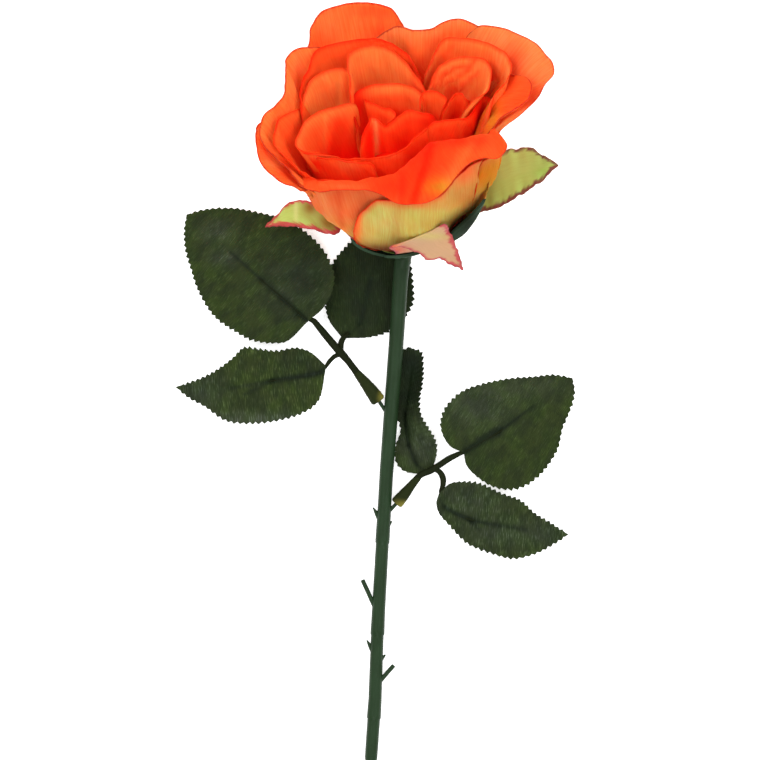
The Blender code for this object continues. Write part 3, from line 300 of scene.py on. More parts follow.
# Dyes of the sepal cloth
SEPAL_LIME = (0.42, 0.585, 0.12)
SEPAL_ROSE = (0.49, 0.275, 0.147)
OLIVE = (0.20, 0.21, 0.03)
GOLDEN_OLIVE = (0.24, 0.11, 0.006)
FRESH_GREEN = (0.22, 0.42, 0.05)
PALE_LIME = (0.60, 0.62, 0.22)

# Dyes of the leaf cloth: the grey is partly bleached cloth and partly painted sheen, the pale is painted
# sheen
LEAF_GREEN = (0.019, 0.029, 0.006)
LEAF_BLEACH_AND_SHEEN = (0.021, 0.029, 0.014)
LEAF_PAINTED_SHEEN = (0.036, 0.045, 0.027)
LEAF_DARK = (0.005, 0.009, 0.004)

# Colours of the plastic
STEM_GREEN = (0.012, 0.028, 0.010)
STALK_GREEN = (0.008, 0.011, 0.0035)
SLEEVE_GREEN = (0.014, 0.019, 0.005)
SLEEVE_END = (0.150, 0.135, 0.022)
CUP_GREEN = (0.030, 0.056, 0.032)
CUP_DARK = (0.009, 0.014, 0.007)

# Soft marks on petals, sepals, leaves and the cup: some are stains and tones of the cloth and plastic,
# many are painted shade in hollows and under overlapping parts, and some are painted highlights and
# sheen. Each gives the middle's x and y on the drawing, reach across and along, colour and strength
STAINS_AND_PAINTED_LIGHT = {
    "calyx_cup": ((468, 224, 20, 22, CUP_DARK, 1),),
    # On the leaves the grey patches are partly bleached cloth and partly painted sheen, the pale ones are
    # painted sheen and highlights, and the dark ones make them darker near the stalks and on the back leaves
    "leaf_left_end": (
        (296, 282, 36, 34, LEAF_BLEACH_AND_SHEEN, 0.9), (218, 232, 18, 12, LEAF_PAINTED_SHEEN, 0.6),
        (305, 275, 24, 30, LEAF_DARK, 0.5), (226, 258, 16, 8, LEAF_PAINTED_SHEEN, 0.7)),
    "leaf_left_side": (
        (300, 362, 26, 12, LEAF_DARK, 0.5), (200, 392, 24, 18, LEAF_BLEACH_AND_SHEEN, 0.9),
        (262, 419, 55, 7, LEAF_PAINTED_SHEEN, 0.7)),
    "leaf_left_back": ((370, 290, 70, 80, LEAF_DARK, 0.75),),
    "leaf_right_end": (
        (478, 405, 36, 24, LEAF_PAINTED_SHEEN, 0.6), (535, 385, 40, 14, LEAF_PAINTED_SHEEN, 0.35),
        (475, 455, 18, 14, LEAF_DARK, 0.4)),
    "leaf_right_side": (
        (500, 534, 36, 14, LEAF_BLEACH_AND_SHEEN, 0.9), (470, 500, 40, 24, LEAF_BLEACH_AND_SHEEN, 0.8),
        (545, 535, 24, 14, LEAF_BLEACH_AND_SHEEN, 0.8), (440, 510, 8, 16, LEAF_DARK, 0.5)),
    "leaf_right_back": (
        (411, 368, 26, 30, LEAF_DARK, 1), (410, 397, 18, 13, LEAF_DARK, 0.95),
        (422, 442, 24, 26, LEAF_PAINTED_SHEEN, 0.75), (403, 420, 7, 22, LEAF_DARK, 0.6)),
    # The front guard petal: painted shade in dull peach under the fold's rim and in brown where it meets the
    # cup and beside the cup's lobe, a red band on its left edge, and olive, khaki, amber and lime tones
    "guard_front": (
        (462, 176, 17, 18, DULL_PEACH, 0.9), (425, 205, 40, 6, DULL_PEACH, 0.4),
        (464, 198, 14, 20, OCHRE, 0.6), (432, 226, 22, 10, OCHRE, 0.5), (357, 226, 5, 30, ORANGE, 0.7),
        (460, 196, 18, 12, KHAKI, 0.7), (385, 249.5, 60, 8, PAINTED_SHADOW_BROWN, 1),
        (457, 223, 13, 8, PAINTED_SHADOW_BROWN, 0.9), (487, 182, 4, 30, DARK_AMBER, 0.9),
        (466, 169, 18, 9, DULL_PEACH, 0.8), (480, 190, 7, 18, KHAKI, 0.8),
        (383, 224, 18, 14, PALE_LIME, 0.35)),
    "guard_right": ((493, 178, 12, 28, DARK_AMBER, 0.9),),
    "guard_front_left": ((345, 215, 14, 20, PEACH, 0.35), (322, 203, 12, 14, DULL_PEACH, 0.4)),
    "left": (
        (290, 166, 24, 13, RED_ORANGE, 0.9), (268, 150, 8, 10, VERMILION, 0.6),
        (283, 112, 12, 18, ORANGE, 0.5), (297, 70, 14, 20, PEACH, 0.5)),
    "left_low": ((285, 176, 24, 12, RED_ORANGE, 0.9), (266, 148, 10, 16, VERMILION, 0.8)),
    "back_left": ((372, 9, 34, 8, VERMILION, 0.7), (328, 24, 14, 16, PEACH, 0.4)),
    # Painted shade in the fold beside the centre petals
    "middle_front_left": ((345, 134, 8, 20, DEEP_RED, 0.55),),
    # Painted shade in the deep folds at its lower left and its right
    "middle_back": ((359, 104, 9, 18, DEEP_RED, 0.85), (415, 92, 12, 14, DEEP_RED, 0.7)),
    # Painted shade in the deep fold on its left and under the small centre petal's flap
    "centre_top": ((357, 108, 11, 32, SHADED_RED, 1), (390, 122, 30, 9, SCARLET, 0.8)),
    # Painted shade in the deep fold beside the middle right petal
    "front_right_inner": ((479, 112, 11, 15, DEEP_RED, 1),),
    # Painted shade under its small folded tip and a painted highlight along that fold
    "right_inner": ((456, 98, 7, 8, DEEP_RED, 0.8), (466, 96, 3, 12, PEACH, 0.4)),
    "sepal_right": ((490, 190, 11, 24, OLIVE, 0.7), (544, 172, 12, 12, FRESH_GREEN, 0.5)),
    "sepal_front": ((396, 249, 12, 5, DULL_RED, 0.9), (430, 236, 20, 4, LIME, 0.6)),
    # Golden olive near the petal, and a painted highlight along its crease
    "sepal_left": (
        (311, 207, 11, 10, GOLDEN_OLIVE, 1), (328, 221, 13, 14, GOLDEN_OLIVE, 1),
        (296, 212, 2.2, 20, PALE_LIME, 0.6)),
    # The fold: a painted highlight in peach along its lip and painted shadow in brown beside the cup's lobe,
    # among its scarlet, amber and orange tones
    "front_fold": (
        (458, 142, 26, 6, SCARLET, 0.85), (461, 219, 16, 9, PAINTED_SHADOW_BROWN, 1),
        (388, 189, 26, 14, SCARLET, 0.7), (418, 178, 12, 24, SCARLET, 0.6), (438, 188, 15, 9, AMBER, 0.85),
        (490, 148, 12, 18, BRIGHT_ORANGE, 0.15), (346, 187, 18, 2, PEACH, 0.35)),
    # Painted shade in dull orange beside the middle right petal and in dull red under the outer right petal's
    # rim
    "back_right": ((516, 64, 12, 26, DULL_ORANGE, 0.9), (532, 98, 17, 17, DULL_RED, 0.95)),
    # A paler middle, and painted shade in the fold on its left
    "front_small": ((350, 164, 12, 7, PEACH, 0.7), (318, 172, 10, 10, SCARLET, 0.8)),
    # Painted shade in the folds at both ends, a painted highlight along its lip, and an orange patch
    "centre_front": (
        (400, 165, 18, 6, ORANGE, 0.8), (318, 165, 8, 8, DEEP_RED, 0.6), (350, 156, 55, 2.6, PEACH, 0.9),
        (412, 158, 9, 9, DEEP_RED, 0.5)),
    # Painted shade in the deep fold on its right and in the valley of its fold, and a painted highlight on
    # the fold's ridge
    "centre_swirl": (
        (432, 120, 13, 9, SHADED_RED, 0.85), (376, 134, 3, 26, PEACH, 0.85),
        (368, 142, 6, 20, DEEP_RED, 0.7)),
    "right_outer": ((492, 118, 9, 26, AMBER, 0.85),),
    # Painted shade in the deep folds beside the inner right petals, and a paler patch at the top
    "right_middle": (
        (477, 106, 12, 20, DEEP_RED, 1), (491, 80, 5, 15, DEEP_RED, 0.9), (502, 62, 9, 16, PEACH, 0.45)),
}

# Creases in the cloth: a ridge or, below zero, a valley from one place of the drawing to another,
# as x, y, x, y, half width and depth in mm
CREASES = {
    "leaf_left_end": (
        (305, 319, 262, 280, 1.1, -0.9), (262, 280, 230, 252, 0.9, -0.5), (297, 314, 277, 323, 0.9, -0.5)),
    "leaf_left_side": (
        (322, 372, 272, 381, 1.1, -0.8), (272, 381, 244, 395, 0.9, -0.5), (272, 380, 230, 388, 0.8, -0.4)),
    "leaf_left_back": ((360, 323, 371, 280, 1, -0.6),),
    "leaf_right_end": (
        (466, 451, 500, 431, 1.2, -0.9), (500, 431, 534, 407, 0.9, -0.6), (477, 439, 500, 427, 0.8, -0.5),
        (496, 434, 511, 441, 0.8, -0.4)),
    "leaf_right_side": (
        (445, 508, 472, 521, 1.1, -0.7), (472, 521, 526, 530, 0.9, -0.5), (468, 519, 480, 530, 0.8, -0.4)),
    "leaf_right_back": ((417, 465, 409, 446, 0.9, -0.5), (409, 446, 405, 412, 0.9, -0.6)),
    "back_left": ((356, 8, 352, 40, 1.6, 0.25), (383, 14, 377, 40, 1.8, -0.25)),
    "middle_left": ((338, 78, 339, 104, 1.2, 0.5), (345, 76, 345, 104, 1, -0.3)),
    "middle_front_left": ((325, 118, 326, 152, 1, 0.8), (336, 122, 331, 148, 2.2, -0.9)),
    "centre_swirl": ((374, 121, 377, 156, 1.1, 1.6), (368, 132, 370, 156, 2.2, -1)),
    "front_fold": (
        (431, 147, 413, 203, 1.5, -1.4), (403, 174, 402, 204, 1.8, -0.7), (470, 146, 446, 190, 3, 1),
        (482, 140, 462, 170, 1.6, -0.5)),
    "guard_front": ((415, 207, 420, 236, 0.8, 0.3), (398, 203, 396, 232, 2.4, -0.4)),
    "guard_front_left": ((322, 190, 330, 218, 1.6, 0.5), (338, 190, 343, 226, 1.6, -0.5)),
    "front_right_inner": ((460, 124, 459, 142, 1.2, 0.6),),
    "right_inner": (
        (430, 84, 448, 70, 0.9, -1.3), (448, 70, 474, 63, 0.9, -1), (433, 88, 454, 79, 0.9, -1.3),
        (454, 79, 470, 68, 0.9, -0.9), (446, 91, 460, 86, 0.9, -1.2), (460, 86, 478, 73, 0.9, -0.9),
        (471, 88, 465, 106, 0.9, 0.4)),
    "right_middle": ((440, 60, 452, 46, 1.2, -0.4),),
    "centre_top": ((376, 90, 402, 89, 1, 0.3), (380, 96, 412, 98, 1.2, -0.3)),
}

# The outer petals have a dark rim, finer where the distance to the edge counts for more
RIM_SCALES = {"back_left": 0.45, "back_middle": 0.5, "back_right": 0.45, "left": 0.5, "left_low": 0.5,
              "right_outer": 0.7, "front_fold": 1.0}
# The inner petals have no dark rim, because the distance where it ends, in mm, is added to theirs.
# They have a soft red painted shade along their rim instead, which starts and ends this far in mm from it
DARK_RIM_END = 0.55
SOFT_RIM = (0.2, 1.3)
RIM_PAINTED_SHADE = (0.86, 0.26, 0.22)

# Painted shade makes the cloth redder in a valley and painted light paler on a ridge, up to the palest red
VALLEY_PAINTED_SHADE = (0.90, 0.40, 0.35)
RIDGE_PAINTED_LIGHT = (1.0, 1.7, 2.0)
PALEST = 0.97

# Stem: drawing x, y and diameter, with a sharp collar where two places nearly meet. The shoulder
# under the cup is given as height over the bloom's base and diameter
STEM_PATH = (
    (371, 760, 4.7), (371.8, 748, 4.8), (373.7, 720, 4.8), (373.8, 718.8, 5.3), (375, 700, 5.0),
    (377.3, 636, 4.8), (377.4, 634.8, 5.3), (378.6, 610, 5.0), (382.3, 544, 4.9), (382.4, 542.8, 5.4),
    (385, 498, 5.1), (386.5, 472, 5.2), (394, 373, 5.6), (398, 318, 5.6), (400.4, 280, 5.7),
    (401.8, 266, 6.0),
)
SHOULDER = ((-2.2, 6.2), (0.5, 6.4), (1.6, 5.2))
STEM_STEP = 0.9
STEM_SIDES = 36
STEM_ROUGHNESS = 0.006

# Pegs on the stem: start, end, radius, and the rise of the end over the stem's middle
PEGS = (
    ((374.0, 606.0), (362.7, 581.0), 0.85, 0.8), ((379.5, 682.5), (393.4, 666.6), 0.85, 0.8),
    ((390.5, 418.5), (374.5, 394.5), 0.7, 0.3), ((385.0, 516.0), (400.5, 499.5), 0.7, 0.3),
)
PEG_ROUGHNESS = 0.02
# Thorns: foot on the stem's middle line, tip, and radius of the foot. At this share of a thorn's length
# it has this share of its foot's width
THORNS = (
    ((381.0, 521.0), (373.2, 508.0), 1.3), ((374.5, 654.0), (366.8, 641.0), 1.3),
    ((385.5, 529.0), (391.8, 521.5), 1.2), ((378.0, 663.0), (385.4, 655.5), 1.2),
)
THORN_MIDDLE = 0.6
THORN_MIDDLE_WIDTH = 0.6
THORN_TIP_RADIUS = 0.25
THORN_RINGS = 14

# Calyx cup: lobes as azimuth, half width, reach on the bowl, and how far the tip stands off
CUP_HOLE = 2.1
CUP_VALLEY = 11.0
CUP_LOBES = ((62.0, 34.0, 29.5, -2.1), (2.0, 36.0, 17.0, 0.0), (-70.0, 36.0, 18.0, 0.0),
             (-142.0, 36.0, 15.0, 0.0), (148.0, 36.0, 15.0, 0.0))
CUP_LOBE_FULLNESS = 0.7
CUP_STAND_OFF_POWER = 5
CUP_RIDGES = 25
CUP_RIDGE_HEIGHT = 0.14
CUP_ROWS = 26
CUP_ROW_SPREAD = 1.3
CUP_COLUMNS = 180

# Sepals: reach on the bowl and half width in degrees near the foot, then for each sepal the foot's
# azimuth and rows of left edge, middle and right edge as (x, y, height)
SEPAL_FOOT = ((4.5, 36.0), (9.0, 30.0), (14.0, 22.0), (19.0, 18.0))
SEPALS = {
    "sepal_front": (10.0, (
        ((391, 247, 23), (417, 237.5, 28.5), (444, 224, 30)),
        ((416, 251.5, 18.5), (432, 242, 23), (449, 231, 24)),
        ((425, 258.5, 15.5), (438, 248, 19.5), (452, 237, 21)),
        ((438, 259, 14), (447, 252, 17), (456, 244, 18.5)),
        ((452, 265.5, 11), (455.5, 261, 12), (460, 257, 13.5)),
        ((463, 270.5, 9), (463, 270.5, 9), (463, 270.5, 9)))),
    "sepal_right": (113.0, (
        ((478, 212, 11), (487, 184, 17), (500, 154, 20)),
        ((497, 208, 13), (508, 178, 18), (517, 147, 21)),
        ((523, 193, 16), (529, 172, 19), (534, 149, 21)),
        ((541, 181.5, 18), (545, 168, 20), (547, 157, 21)),
        ((559, 165, 20), (559, 165, 20), (559, 165, 20)))),
    "sepal_left": (-89.0, (
        ((336, 235, 17), (328, 220, 20), (320, 204, 23)),
        ((313, 229.5, 17), (308, 215, 19), (305, 200.5, 22)),
        ((296, 226.5, 16), (293, 214, 18), (293, 200.5, 20)),
        ((282, 225.5, 16), (281, 218, 17), (281, 210, 18)),
        ((265, 227, 16), (265, 227, 16), (265, 227, 16)))),
}
# The two hidden sepals lie under the bloom: foot azimuth, tip azimuth, tip reach and tip height, and
# along them the share of the way to the tip and the half width
HIDDEN_SEPALS = {
    "sepal_hidden_right": (154.0, 150.0, 34.0, 19.0),
    "sepal_hidden_left": (-138.0, -130.0, 35.0, 19.0),
}
HIDDEN_SEPAL_ROWS = ((0.35, 16.0), (0.7, 9.0), (1.0, 0.0))
SEPAL_ROWS = 72
SEPAL_COLUMNS = 22
# The ring that joins the sepals: its reach on the bowl
SEPAL_RING = (2.1, 9.5)
SEPAL_RING_ROWS = 8
SEPAL_RING_COLUMNS = 72
# The frayed edge of a sepal and its ripple, each with the shares of its length between which it rises
FRAY = 0.35
FRAY_POWER = 6
FRAY_START = (0.3, 0.5)
SEPAL_RIPPLES = ((9.0, 0.4), (5.0, 0.2))
SEPAL_RIPPLE_START = (0.35, 0.6)
SEPAL_RIPPLE_SLANT = 2.0
# The dye of each sepal's edge and its width in mm on the left and on the right, how ragged it is, the
# rates of its rags per mm, and the shares of its width between which it fades
SEPAL_EDGES = {
    "sepal_front": ((0.42, 0.040, 0.060), (1.3, 2.4)),
    "sepal_right": ((0.16, 0.016, 0.022), (2.1, 1.8)),
    "sepal_left": ((0.50, 0.026, 0.050), (3.2, 1.3)),
}
SEPAL_EDGE_RAGS = 0.35
SEPAL_EDGE_RATES = (1.7, 0.6)
SEPAL_EDGE_FADE = (0.5, 1.0)
SEPAL_EDGE_STRENGTH = 0.95

# Leaves: the edge on the left and on the right of the midrib from foot to tip, the midrib, the
# height of the midrib over the surface, the drop of each edge below it, and the thread's angle
LEAVES = {
    "leaf_left_end": {
        "left": (
            (308, 321), (287, 341), (273, 343), (252, 340), (236.5, 332), (214, 316), (197, 288),
            (191, 270), (185, 248), (184, 230), (186, 214)),
        "middle": ((308, 321), (288, 302), (267, 285), (247, 267), (229, 251), (206, 231), (186, 214)),
        "right": (
            (308, 321), (322, 309), (331, 294), (334, 276), (330, 262), (321, 247), (307, 233), (290, 222),
            (270, 215), (252, 211), (233.5, 208), (206, 209), (186, 214)),
        "heights": (8.8, 8.6, 7.4, 5.6, 3, 0.35),
        "drops": (1.6, 1.2),
        "thread": 48,
    },
    "leaf_left_side": {
        "left": (
            (326, 366), (318, 401), (301, 413.5), (279, 420), (256, 423), (227, 421), (204, 406),
            (189, 398), (175, 387)),
        "middle": ((326, 366), (318, 374), (297, 378), (275, 380), (246, 387), (210, 390), (175, 387)),
        "right": (
            (326, 366), (310, 352), (296, 348), (276, 351), (258, 349), (243, 348), (233.5, 357),
            (218, 369), (206, 376), (188, 383), (175, 387)),
        "heights": (7.6, 7.4, 6, 3.6, 0.35),
        "drops": (1.4, 0.4),
        "thread": 94,
    },
    "leaf_left_back": {
        "left": ((342, 338), (328, 318), (325, 290), (331, 266), (347, 245), (366, 230), (388, 223)),
        "middle": ((342, 338), (360, 323), (367, 302), (371, 282), (375, 263), (381, 242), (388, 223)),
        "right": (
            (342, 338), (352, 338), (370, 337), (389, 331), (404, 318), (413, 302), (413, 286), (410, 262),
            (402, 240), (388, 223)),
        "heights": (4.6, 3, 2.4, 1.8, 1.2, 0.9),
        "drops": (0.9, 0.5),
        "thread": 92,
    },
    "leaf_right_end": {
        "left": (
            (464, 453), (450, 446), (441.6, 431), (441, 421), (444.5, 410), (452, 400), (463.6, 391),
            (483, 384), (508, 379), (534, 377), (553, 375), (573, 378)),
        "middle": ((464, 453), (481, 443), (497, 434), (515, 420), (533, 406), (553, 391), (573, 378)),
        "right": (
            (464, 453), (466.5, 465), (475, 475), (494, 487), (512, 489.6), (527, 485), (543, 472),
            (557.5, 450), (563, 428), (571, 409), (575, 393), (573, 378)),
        "heights": (7, 6.8, 6, 4.4, 2.6, 0.35),
        "drops": (0.8, 1.6),
        "thread": 60,
    },
    "leaf_right_side": {
        "left": (
            (439, 494), (450, 484), (462, 482), (480, 484), (502, 494), (521, 501), (534, 513), (550, 523),
            (569, 535)),
        "middle": ((439, 494), (443, 504), (455, 514), (468, 519), (483, 523), (524, 531), (569, 535)),
        "right": (
            (439, 494), (436.5, 503), (439, 513), (450, 526), (468, 544), (490, 553), (513.5, 559),
            (538, 553), (553, 545), (569, 535)),
        "heights": (6.2, 6, 5, 3, 0.35),
        "drops": (0.9, 1.2),
        "thread": 86,
    },
    "leaf_right_back": {
        "left": (
            (430, 473), (417, 474), (404, 471), (396.5, 463), (394.5, 452), (397, 442), (400.5, 433),
            (400, 425), (396, 415), (395, 400), (395, 382), (397, 364), (401, 351), (411, 347)),
        "middle": ((430, 473), (417, 465), (409, 446), (405, 422), (408, 395), (411, 370), (411, 348)),
        "right": (
            (430, 473), (435, 462), (437, 450), (435, 440), (428, 428), (421, 416), (419, 401), (422, 384),
            (423, 366), (421, 352), (411, 348)),
        "heights": (2.9, 2.4, 1.8, 1.4, 1.6, 2),
        "drops": (-0.5, -8),
        "thread": 100,
    },
}
LEAF_COLUMNS = 26
LEAF_COLUMN_SPREAD = 1.15
# Teeth: spacing, rows of the mesh to each, depth, range of sizes, the place of the crest along a tooth
# and the share of its depth that lies inside the outline. The teeth start softly near the stalk
LEAF_TOOTH = 2.3
TOOTH_ROWS = 6
TOOTH_DEPTH = 1.0
TOOTH_SIZES = (0.65, 1.2)
TOOTH_CREST = 0.7
TOOTH_SINK = 0.4
TOOTHLESS_SHARE = (0.05, 0.3)
LEAST_HALF_WIDTH = 1.0
# How roundly the edge of a leaf drops or, where its drop is below zero, rises
DROP_POWER = 0.8
RISE_POWER = 1.6
# Relief of a leaf: the groove of the midrib, the sunk side veins and a soft wave, in mm
MIDRIB_GROOVE = (0.8, 0.25)
GROOVE_FADE = (0.55, 0.95)
VEIN_SPACING = 6.5
VEIN_SWEEP = 0.75
VEIN_DEPTH = 0.06
VEIN_WIDTH = 0.55
VEIN_START = (0.5, 2.0)
LEAF_WAVE = (17.0, 0.45)
LEAF_WAVE_SLANT = 0.6
LEAF_WAVE_START = (1.0, 9.0)
# Darker along the midrib, as strength and half width in mm, and painted shade in the veins and in the
# creases, up to the darkest
MIDRIB_DARK = (0.45, 0.8)
VEIN_PAINTED_SHADE = 0.15
CREASE_PAINTED_SHADE = 1.1
DARKEST = 0.9
# These leaves show more pale threads and painted glints
BRIGHT_LEAVES = ("leaf_left_side", "leaf_right_side")

# Leaf stalks: drawing x, y, height and radius. The first of each is the sleeve on the stem's peg
STALKS = {
    "leaf_stalk_left": (
        ((377.5, 399.5, 6.1, 2.8), (371, 390.5, 6.4, 2.5), (362, 379, 6.85, 1.85), (357, 373, 7, 1.5)),
        ((360, 377, 6.9, 1.45), (348, 361, 7.25, 1.3), (341, 353, 7.5, 1.55), (333, 344, 7.6, 1.45),
         (323, 332, 7.6, 1.35), (314, 321, 7.5, 1.1)),
        ((342, 354, 7.4, 0.9), (335, 356, 7, 0.9), (329.5, 361, 6.5, 0.85)),
        ((341, 354, 7.2, 1.1), (340.5, 347, 6.7, 1.15), (342, 340, 6, 1.1), (348, 333, 5.1, 0.7)),
    ),
    "leaf_stalk_right": (
        ((397.5, 502.5, 5.15, 2.4), (404, 495, 5.4, 2.15), (412, 485, 5.8, 1.6), (418, 478, 6, 1.3)),
        ((415, 481, 5.9, 1.25), (421, 475, 6.2, 1.2), (431, 470.6, 6.4, 1.3), (440, 465, 6.4, 1.2),
         (449, 459, 6.1, 1.2), (458, 454.5, 5.8, 1)),
        ((433, 469.5, 6.4, 0.8), (439, 471.5, 6.2, 1.05), (443, 478, 5.8, 1.2), (443, 486, 5.2, 1),
         (441, 491, 5, 0.75)),
        ((433, 470.5, 6.2, 0.8), (430.5, 472, 5.2, 0.8), (428.5, 472.5, 4.2, 0.6)),
    ),
}
STALK_STEP = 0.6
STALK_SIDES = 18
STALK_ROUGHNESS = 0.03
LEAST_STALK_RINGS = 6
SLEEVE_END_WIDTH = 3.2
SLEEVE_FADE = (0.5, 1.4)
# The ribs under the leaves: stalk piece, leaf, the stalk that it grows from, and its span on the midrib
RIBS = (
    ("leaf_stalk_left", "leaf_left_end", 1, 0.06, 0.62),
    ("leaf_stalk_left", "leaf_left_side", 2, 0.06, 0.5),
    ("leaf_stalk_right", "leaf_right_end", 1, 0.06, 0.6),
    ("leaf_stalk_right", "leaf_right_side", 2, 0.06, 0.45),
)
RIB_RADIUS = 0.5
RIB_TIP_RADIUS = 0.35
RIB_CLEARANCE = 1.175
RIB_STEPS = 40
RIB_PLACES = 5

# The rounded ends of a bar: their length in radii and the angles of their two rings
CAP_LENGTH = 0.35
CAP_ANGLES = (0.5, 1.1)
# The uneven surface of a bar is softened over this many places on each side. Its edges are crisp where
# they turn more than the sharp angle
SWELL_REACH = 2
SHARP_ANGLE = math.radians(50)

# Materials: thread pitches in mm, noise stretched along the threads, soft ranges that map noise to a
# share, as from low, from high, to low and to high, and how much the noise adds to rims and relief
WEAVE_PITCH = 0.42
RIB_PITCH = 0.8
PETAL_STREAKS = (1.7, 0.07, 1.0)
PETAL_STREAK_RANGE = (0.35, 0.65, 1.0, 0.0)
PETAL_STREAK_SHADE = (0.97, 0.80, 0.72, 1.0)
PETAL_CLOUDS = (60.0, 60.0, 60.0)
PETAL_CLOUD_RANGE = (0.35, 0.7, 0.0, 0.16)
PETAL_RIM_RANGE = (0.25, 0.65, 0.8, 0.0)
PETAL_RIM_RAGS = 0.35
PETAL_STREAK_RELIEF = 1.6
SEPAL_STREAKS = (1.5, 0.12, 1.0)
SEPAL_STREAK_RANGE = (0.3, 0.7, 0.10, 0.0)
SEPAL_STREAK_DYE = (0.24, 0.20, 0.03, 1.0)
SEPAL_RIM_RANGE = (0.25, 0.6, 0.6, 0.0)
SEPAL_RIM_DYE = (0.20, 0.012, 0.020, 1.0)
SEPAL_RIM_RAGS = 0.4
SEPAL_STREAK_RELIEF = 0.6
LEAF_STREAKS = (3.0, 0.32, 1.0)
LEAF_STREAK_RANGE = (0.48, 0.74)
LEAF_PALE_THREAD_AND_GLINT = (3.4, 2.9, 5.0, 1.0)
LEAF_CLOUDS = (0.12, 0.12, 1.0)
LEAF_CLOUD_RANGE = (0.40, 0.62, 0.0, 0.5)
LEAF_CLOUD_SHADE = (1.1, 1.35, 0.8, 1.0)
LEAF_GLINT_RANGE = (0.3, 0.6, 0.4, 1.0)
LEAF_PATCHES = (0.25, 0.12, 1.0)
LEAF_PATCH_RANGE = (0.40, 0.62, 0.0, 0.42)
LEAF_RIB_RELIEF = 0.35
LEAF_STREAK_RELIEF = 1.2
PLASTIC_CLOUDS = (260.0, 90.0, 260.0)
PLASTIC_CLOUD_RANGE = (0.35, 0.7, 0.0, 0.5)
PLASTIC_CLOUD_SHADE = (1.5, 1.5, 1.7, 1.0)
PLASTIC_GRAIN = (2200.0, 500.0, 2200.0)
# Light goes into the cloth this far in metres, and further in red than in green and blue
SUBSURFACE_RADIUS = (1.0, 0.25, 0.1)
SUBSURFACE_SCALE = 0.001

# Studio: soft boxes as place in metres, width in metres and power in watts, and the white surroundings
SOFT_BOXES = (((-0.7, 0.5, 1.2), 0.8, 10.0), ((0.8, 0.3, 1.1), 0.8, 7.0), ((0.0, -0.8, 1.2), 0.8, 7.0))
ROOM_LIGHT = 0.76
WHITE = (1.0, 1.0, 1.0, 1.0)
FLOOR_COLOUR = (0.97, 0.97, 0.97, 1.0)
FLOOR_GLOW = 0.6
FLOOR_WIDTH = 6.0


def on_drawing(x, y, height):
    """The place in mm of a point of the drawing, at a height above the surface."""
    origin_x, origin_y = ORIGIN_ON_DRAWING
    return np.array([(x - origin_x) * MM_PER_UNIT, (origin_y - y) * MM_PER_UNIT, height])


BLOOM_ORIGIN = on_drawing(*BLOOM_BASE, BLOOM_BASE_HEIGHT)
BLOOM_AXIS = np.array([
    -math.sin(BLOOM_TILT) * math.cos(BLOOM_RISE),
    math.cos(BLOOM_TILT) * math.cos(BLOOM_RISE),
    math.sin(BLOOM_RISE),
])
BLOOM_RIGHT = np.array([math.cos(BLOOM_TILT), math.sin(BLOOM_TILT), 0.0])
BLOOM_REAR = np.cross(BLOOM_AXIS, BLOOM_RIGHT)


def placed_in_bloom(points):
    """Places in mm of points given by right, rear and height in the bloom."""
    return BLOOM_ORIGIN + points @ np.array([BLOOM_RIGHT, BLOOM_REAR, BLOOM_AXIS])


def around_bloom(azimuth, radius, height):
    """A place around the bloom's axis. The azimuth is in degrees from the front to the right."""
    turn = math.radians(azimuth)
    return placed_in_bloom(np.array([radius * math.sin(turn), -radius * math.cos(turn), height]))


def seen_in_bloom(x, y, height):
    """Right, rear and height of the bloom's point that the drawing shows at x, y."""
    across, along = (on_drawing(x, y, 0.0) - on_drawing(*BLOOM_BASE, 0.0))[:2]
    right = math.cos(BLOOM_TILT) * across + math.sin(BLOOM_TILT) * along
    up = math.cos(BLOOM_TILT) * along - math.sin(BLOOM_TILT) * across
    rear = (up - math.cos(BLOOM_RISE) * height) / math.sin(BLOOM_RISE)
    return np.array([right, rear, height])


def blend(first, second, share):
    """The first value where the share is 0, the second where it is 1."""
    return (1 - share) * first + share * second


def smooth_step(low, high, value):
    """Rises softly from 0 at low to 1 at high."""
    share = np.clip((value - low) / (high - low), 0.0, 1.0)
    return share * share * (3 - 2 * share)


def turn_between(azimuth, middle):
    """The turn in degrees from one direction to another, at most half a turn."""
    return (azimuth - middle + 180.0) % 360.0 - 180.0


def bulge(azimuth, height):
    """How much wider the bowl is in a direction at a height."""
    middle, half_width, depth = BULGE
    away = np.abs(turn_between(azimuth, middle)) / half_width
    return depth * smooth_step(1.0, 0.0, away) * smooth_step(*BULGE_HEIGHTS, height)


def on_bowl(azimuth, reach, offset):
    """A place off the outside of the bowl, at this distance from it."""
    radii, heights = np.array(BOWL).T
    height = np.interp(reach, radii, heights)
    rise = np.interp(reach + 1.0, radii, heights) - np.interp(reach - 1.0, radii, heights)
    slope = math.atan2(rise, 2.0)
    radius = reach + offset * math.sin(slope) + bulge(azimuth, height)
    return around_bloom(azimuth, radius, height - offset * math.cos(slope))


def smooth_point(points, knots, knot):
    """One point of the smooth curve between the middle two of four points."""
    near = [blend(points[i], points[i + 1], (knot - knots[i]) / (knots[i + 1] - knots[i])) for i in range(3)]
    wide = [blend(near[i], near[i + 1], (knot - knots[i]) / (knots[i + 2] - knots[i])) for i in range(2)]
    return blend(wide[0], wide[1], (knot - knots[1]) / (knots[2] - knots[1]))


